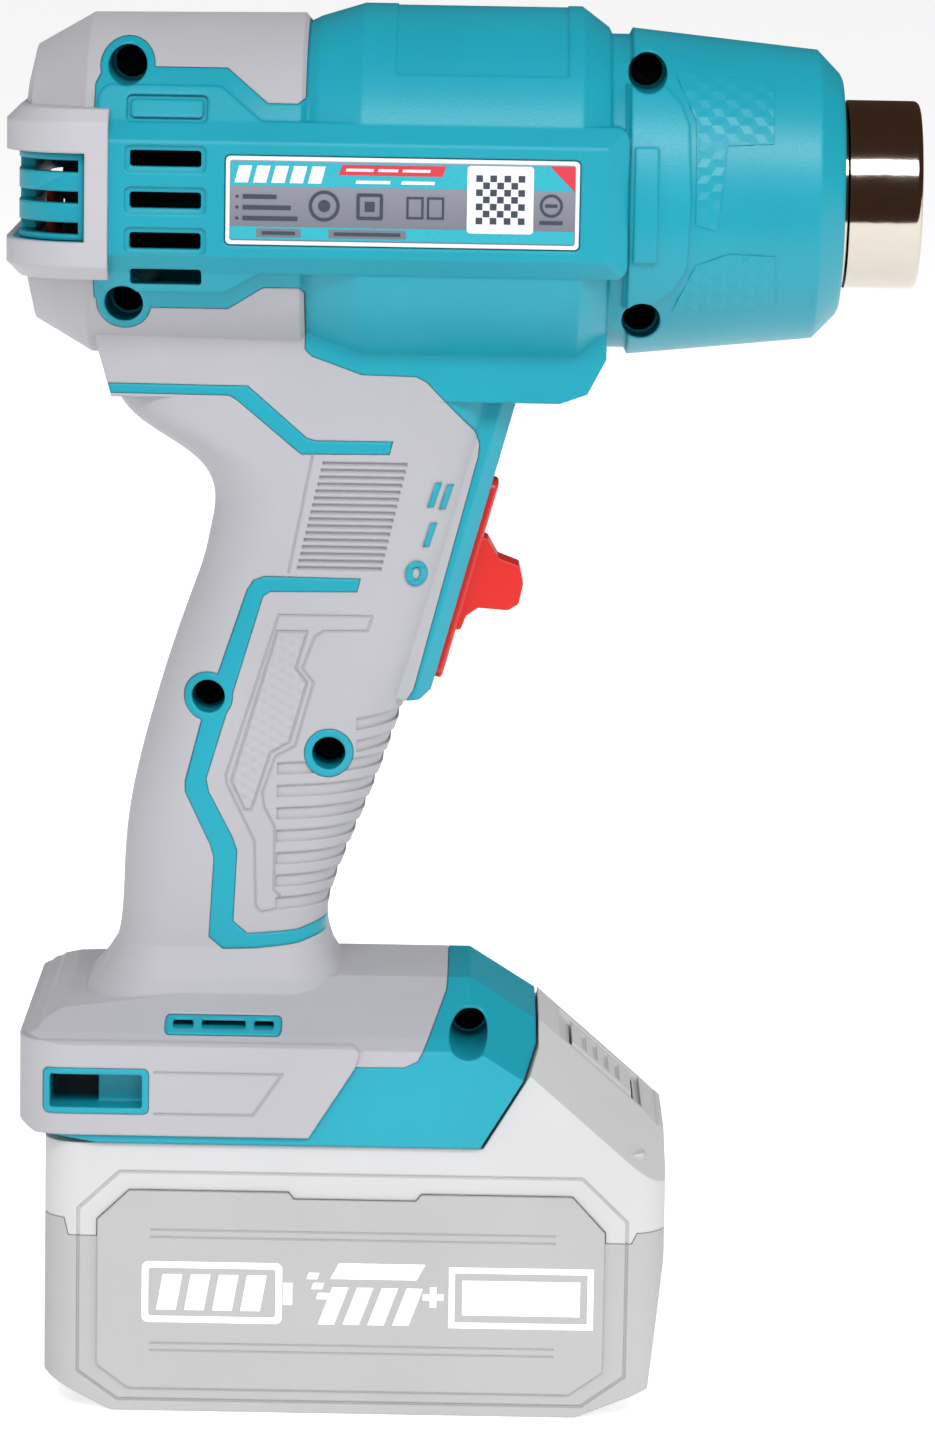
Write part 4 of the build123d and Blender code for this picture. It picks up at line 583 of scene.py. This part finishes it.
# ---- Motor ----
# A small brushed direct-current motor: black phosphated can, ferrite arc magnets, sintered
# bronze bushes, enamelled copper windings, copper commutator, carbon brushes, steel shaft.

phosphated = metal("steel_black_phosphate", "#26262a", 0.5, grain=0.8, tone=0.2)
finish(phosphated, "motor_can")
ferrite = moulding("ferrite_sintered", "#2b2b2f", roughness=0.6, grain=0.35, depth=0.02, tone=0.15,
                   edge=0.15)
bronze = metal("bronze_sintered", "#a9835a", 0.45, grain=0.3, depth=0.01)
carbon = moulding("carbon_brush_pressed", "#1a1a1b", roughness=0.45, grain=0.3, depth=0.01, tone=0.2,
                  edge=0.1)
bright_steel = metal("steel_ground_bright", "#c6c7ca", 0.18, grain=0.25, stretch=(4, 1, 1))
copper = metal("copper_enamelled", "#b4673e", 0.25, grain=0.35, stretch=(1, 1, 3), depth=0.02)
tinned_brass = metal("brass_tinned", "#c9c3b4", 0.28, grain=0.8)
finish(ferrite, "motor_magnets")
finish(bronze, "motor_bushes")
finish(carbon, "motor_brushes")
finish(bright_steel, "motor_shaft", "button_spring")
finish(copper, "motor_windings", "motor_commutator")
finish(tinned_brass, "switch_tags", "motor_tags", "terminal_blades", "pack_contacts")


# ---- Control board in the foot, and the wires ----
# Green epoxy-glass boards on nylon posts, with an extruded aluminium heat sink, sleeved
# capacitors, epoxy power switches, and silicone-insulated wires that stand the heat.

board_green = moulding("epoxy_glass_green_resist", "#145c38", roughness=0.3, grain=1.2, depth=0.02, tone=0.2,
                       edge=0.1, IOR=1.55, Coat_Weight=0.4)
natural_nylon = moulding("nylon_natural", "#dcdbd2", roughness=0.45, grain=0.6, depth=0.01, edge=0.2)
aluminium = metal("aluminium_extruded", "#c4c6c9", 0.32, grain=0.5, stretch=(0.1, 1, 1))
sleeve_blue = moulding("shrink_sleeve_navy", "#1c2550", roughness=0.25, grain=0.9, depth=0.01, edge=0.2)
chip_epoxy = moulding("epoxy_moulded_black", "#202022", roughness=0.5, grain=0.3, depth=0.01, edge=0.15)
silicone = moulding("silicone_insulation_red", "#8e1f1a", roughness=0.5, grain=0.5, depth=0.01, edge=0.1)
finish(board_green, "control_board", "pack_board")
finish(natural_nylon, "board_posts")
finish(aluminium, "board_heat_sink")
finish(sleeve_blue, "board_capacitors")
finish(chip_epoxy, "board_switches")
finish(silicone, "heater_leads", "motor_leads", "switch_leads", "supply_leads")


# ---- Battery pack case and release button ----
# Two pale ABS mouldings screwed together from below. The lower tray is a shade darker and
# carries a raised panel each side; the deck is lighter. The button is the same ABS.

pack_dark = moulding("abs_pack_light_grey", "#999999", roughness=0.55, grain=0.6, depth=0.018, tone=0.03,
                     edge=0.4, lift=0.08, IOR=1.54)
pack_pale = moulding("abs_pack_pale", "#aeaeaf", roughness=0.52, grain=0.6, depth=0.012, tone=0.025,
                     edge=0.5, lift=0.06, IOR=1.54)
button_abs = moulding("abs_button_pale", "#b2b2b3", roughness=0.45, grain=0.6, depth=0.01, tone=0.02,
                      edge=0.4, lift=0.06, IOR=1.54)
finish(pack_dark, "pack_lower_case")
finish(pack_pale, "pack_upper_case")
finish(button_abs, "release_button")


# ---- Print on the pack ----
# White pad print on the side panels: a charge gauge, slanted stripes, a plus and a framed
# bar, all plain signs without letters or figures.

panel_face, print_thick = 37.1, 0.05
print_white = moulding("pad_print_white", "#f6f6f6", roughness=0.4, grain=0.8, depth=0.003, tone=0.01,
                       edge=0.03)
# the charge gauge: a framed body, its end knob and four slanted bars
signs = [ring_line(-44.5, 23, 13, 5.8, 1.2), ring_line(-44.5, 23, 11.8, 4.6, 0.6),
         box_line(-31.3, 20.9, -29.6, 25.1)]
for step in range(4):
    signs.append(box_line(-54.8 + 5.2 * step, 19.6, -51.2 + 5.2 * step, 26.4, 1.2))
# a slanted bar over slanted stripes, with three short dashes behind it
signs.append(box_line(-22.6, 26, -6.6, 29, 1.6))
for step in range(3):
    signs.append(box_line(-27 + 0.9 * step, 25.9 - 1.9 * step, -25 + 0.9 * step, 27.1 - 1.9 * step, 0.4))
for step in range(4):
    signs.append(box_line(-24.8 + 4.6 * step, 17.3, -21.8 + 4.6 * step, 24.4, 2.6))
# the plus, and the framed bar
signs += [box_line(-5.4, 22.2, -1.6, 23.4), box_line(-4.1, 20.9, -2.9, 22.15),
          box_line(-4.1, 23.45, -2.9, 24.7)]
signs += [box_line(-0.6, 17, 26.2, 28.6), box_line(0.5, 18.1, 25.1, 27.5), box_line(1.9, 19.5, 23.7, 26.1)]
pack_print = flat_shape("pack_print_right", signs, print_thick, panel_face, print_white)
for piece in [pack_print, other_side(pack_print, "pack_print_left")]:
    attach(piece, "pack")


# ---- Inside the pack ----
# Ten shrink-sleeved cells stand in two moulded black holders and are joined by rolled
# nickel strip, spot-welded to their ends.

cell_sleeve = moulding("cell_sleeve_blue", "#2a5d8f", roughness=0.3, grain=0.9, depth=0.01, edge=0.3)
holder_abs = moulding("abs_black_holder", "#222224", roughness=0.5, grain=0.5, depth=0.01, edge=0.2)
nickel_strip = metal("nickel_strip_rolled", "#c9c4b9", 0.25, grain=0.5, stretch=(0.2, 1, 1))
finish(cell_sleeve, "pack_cells")
finish(holder_abs, "cell_holders")
finish(nickel_strip, "cell_straps")
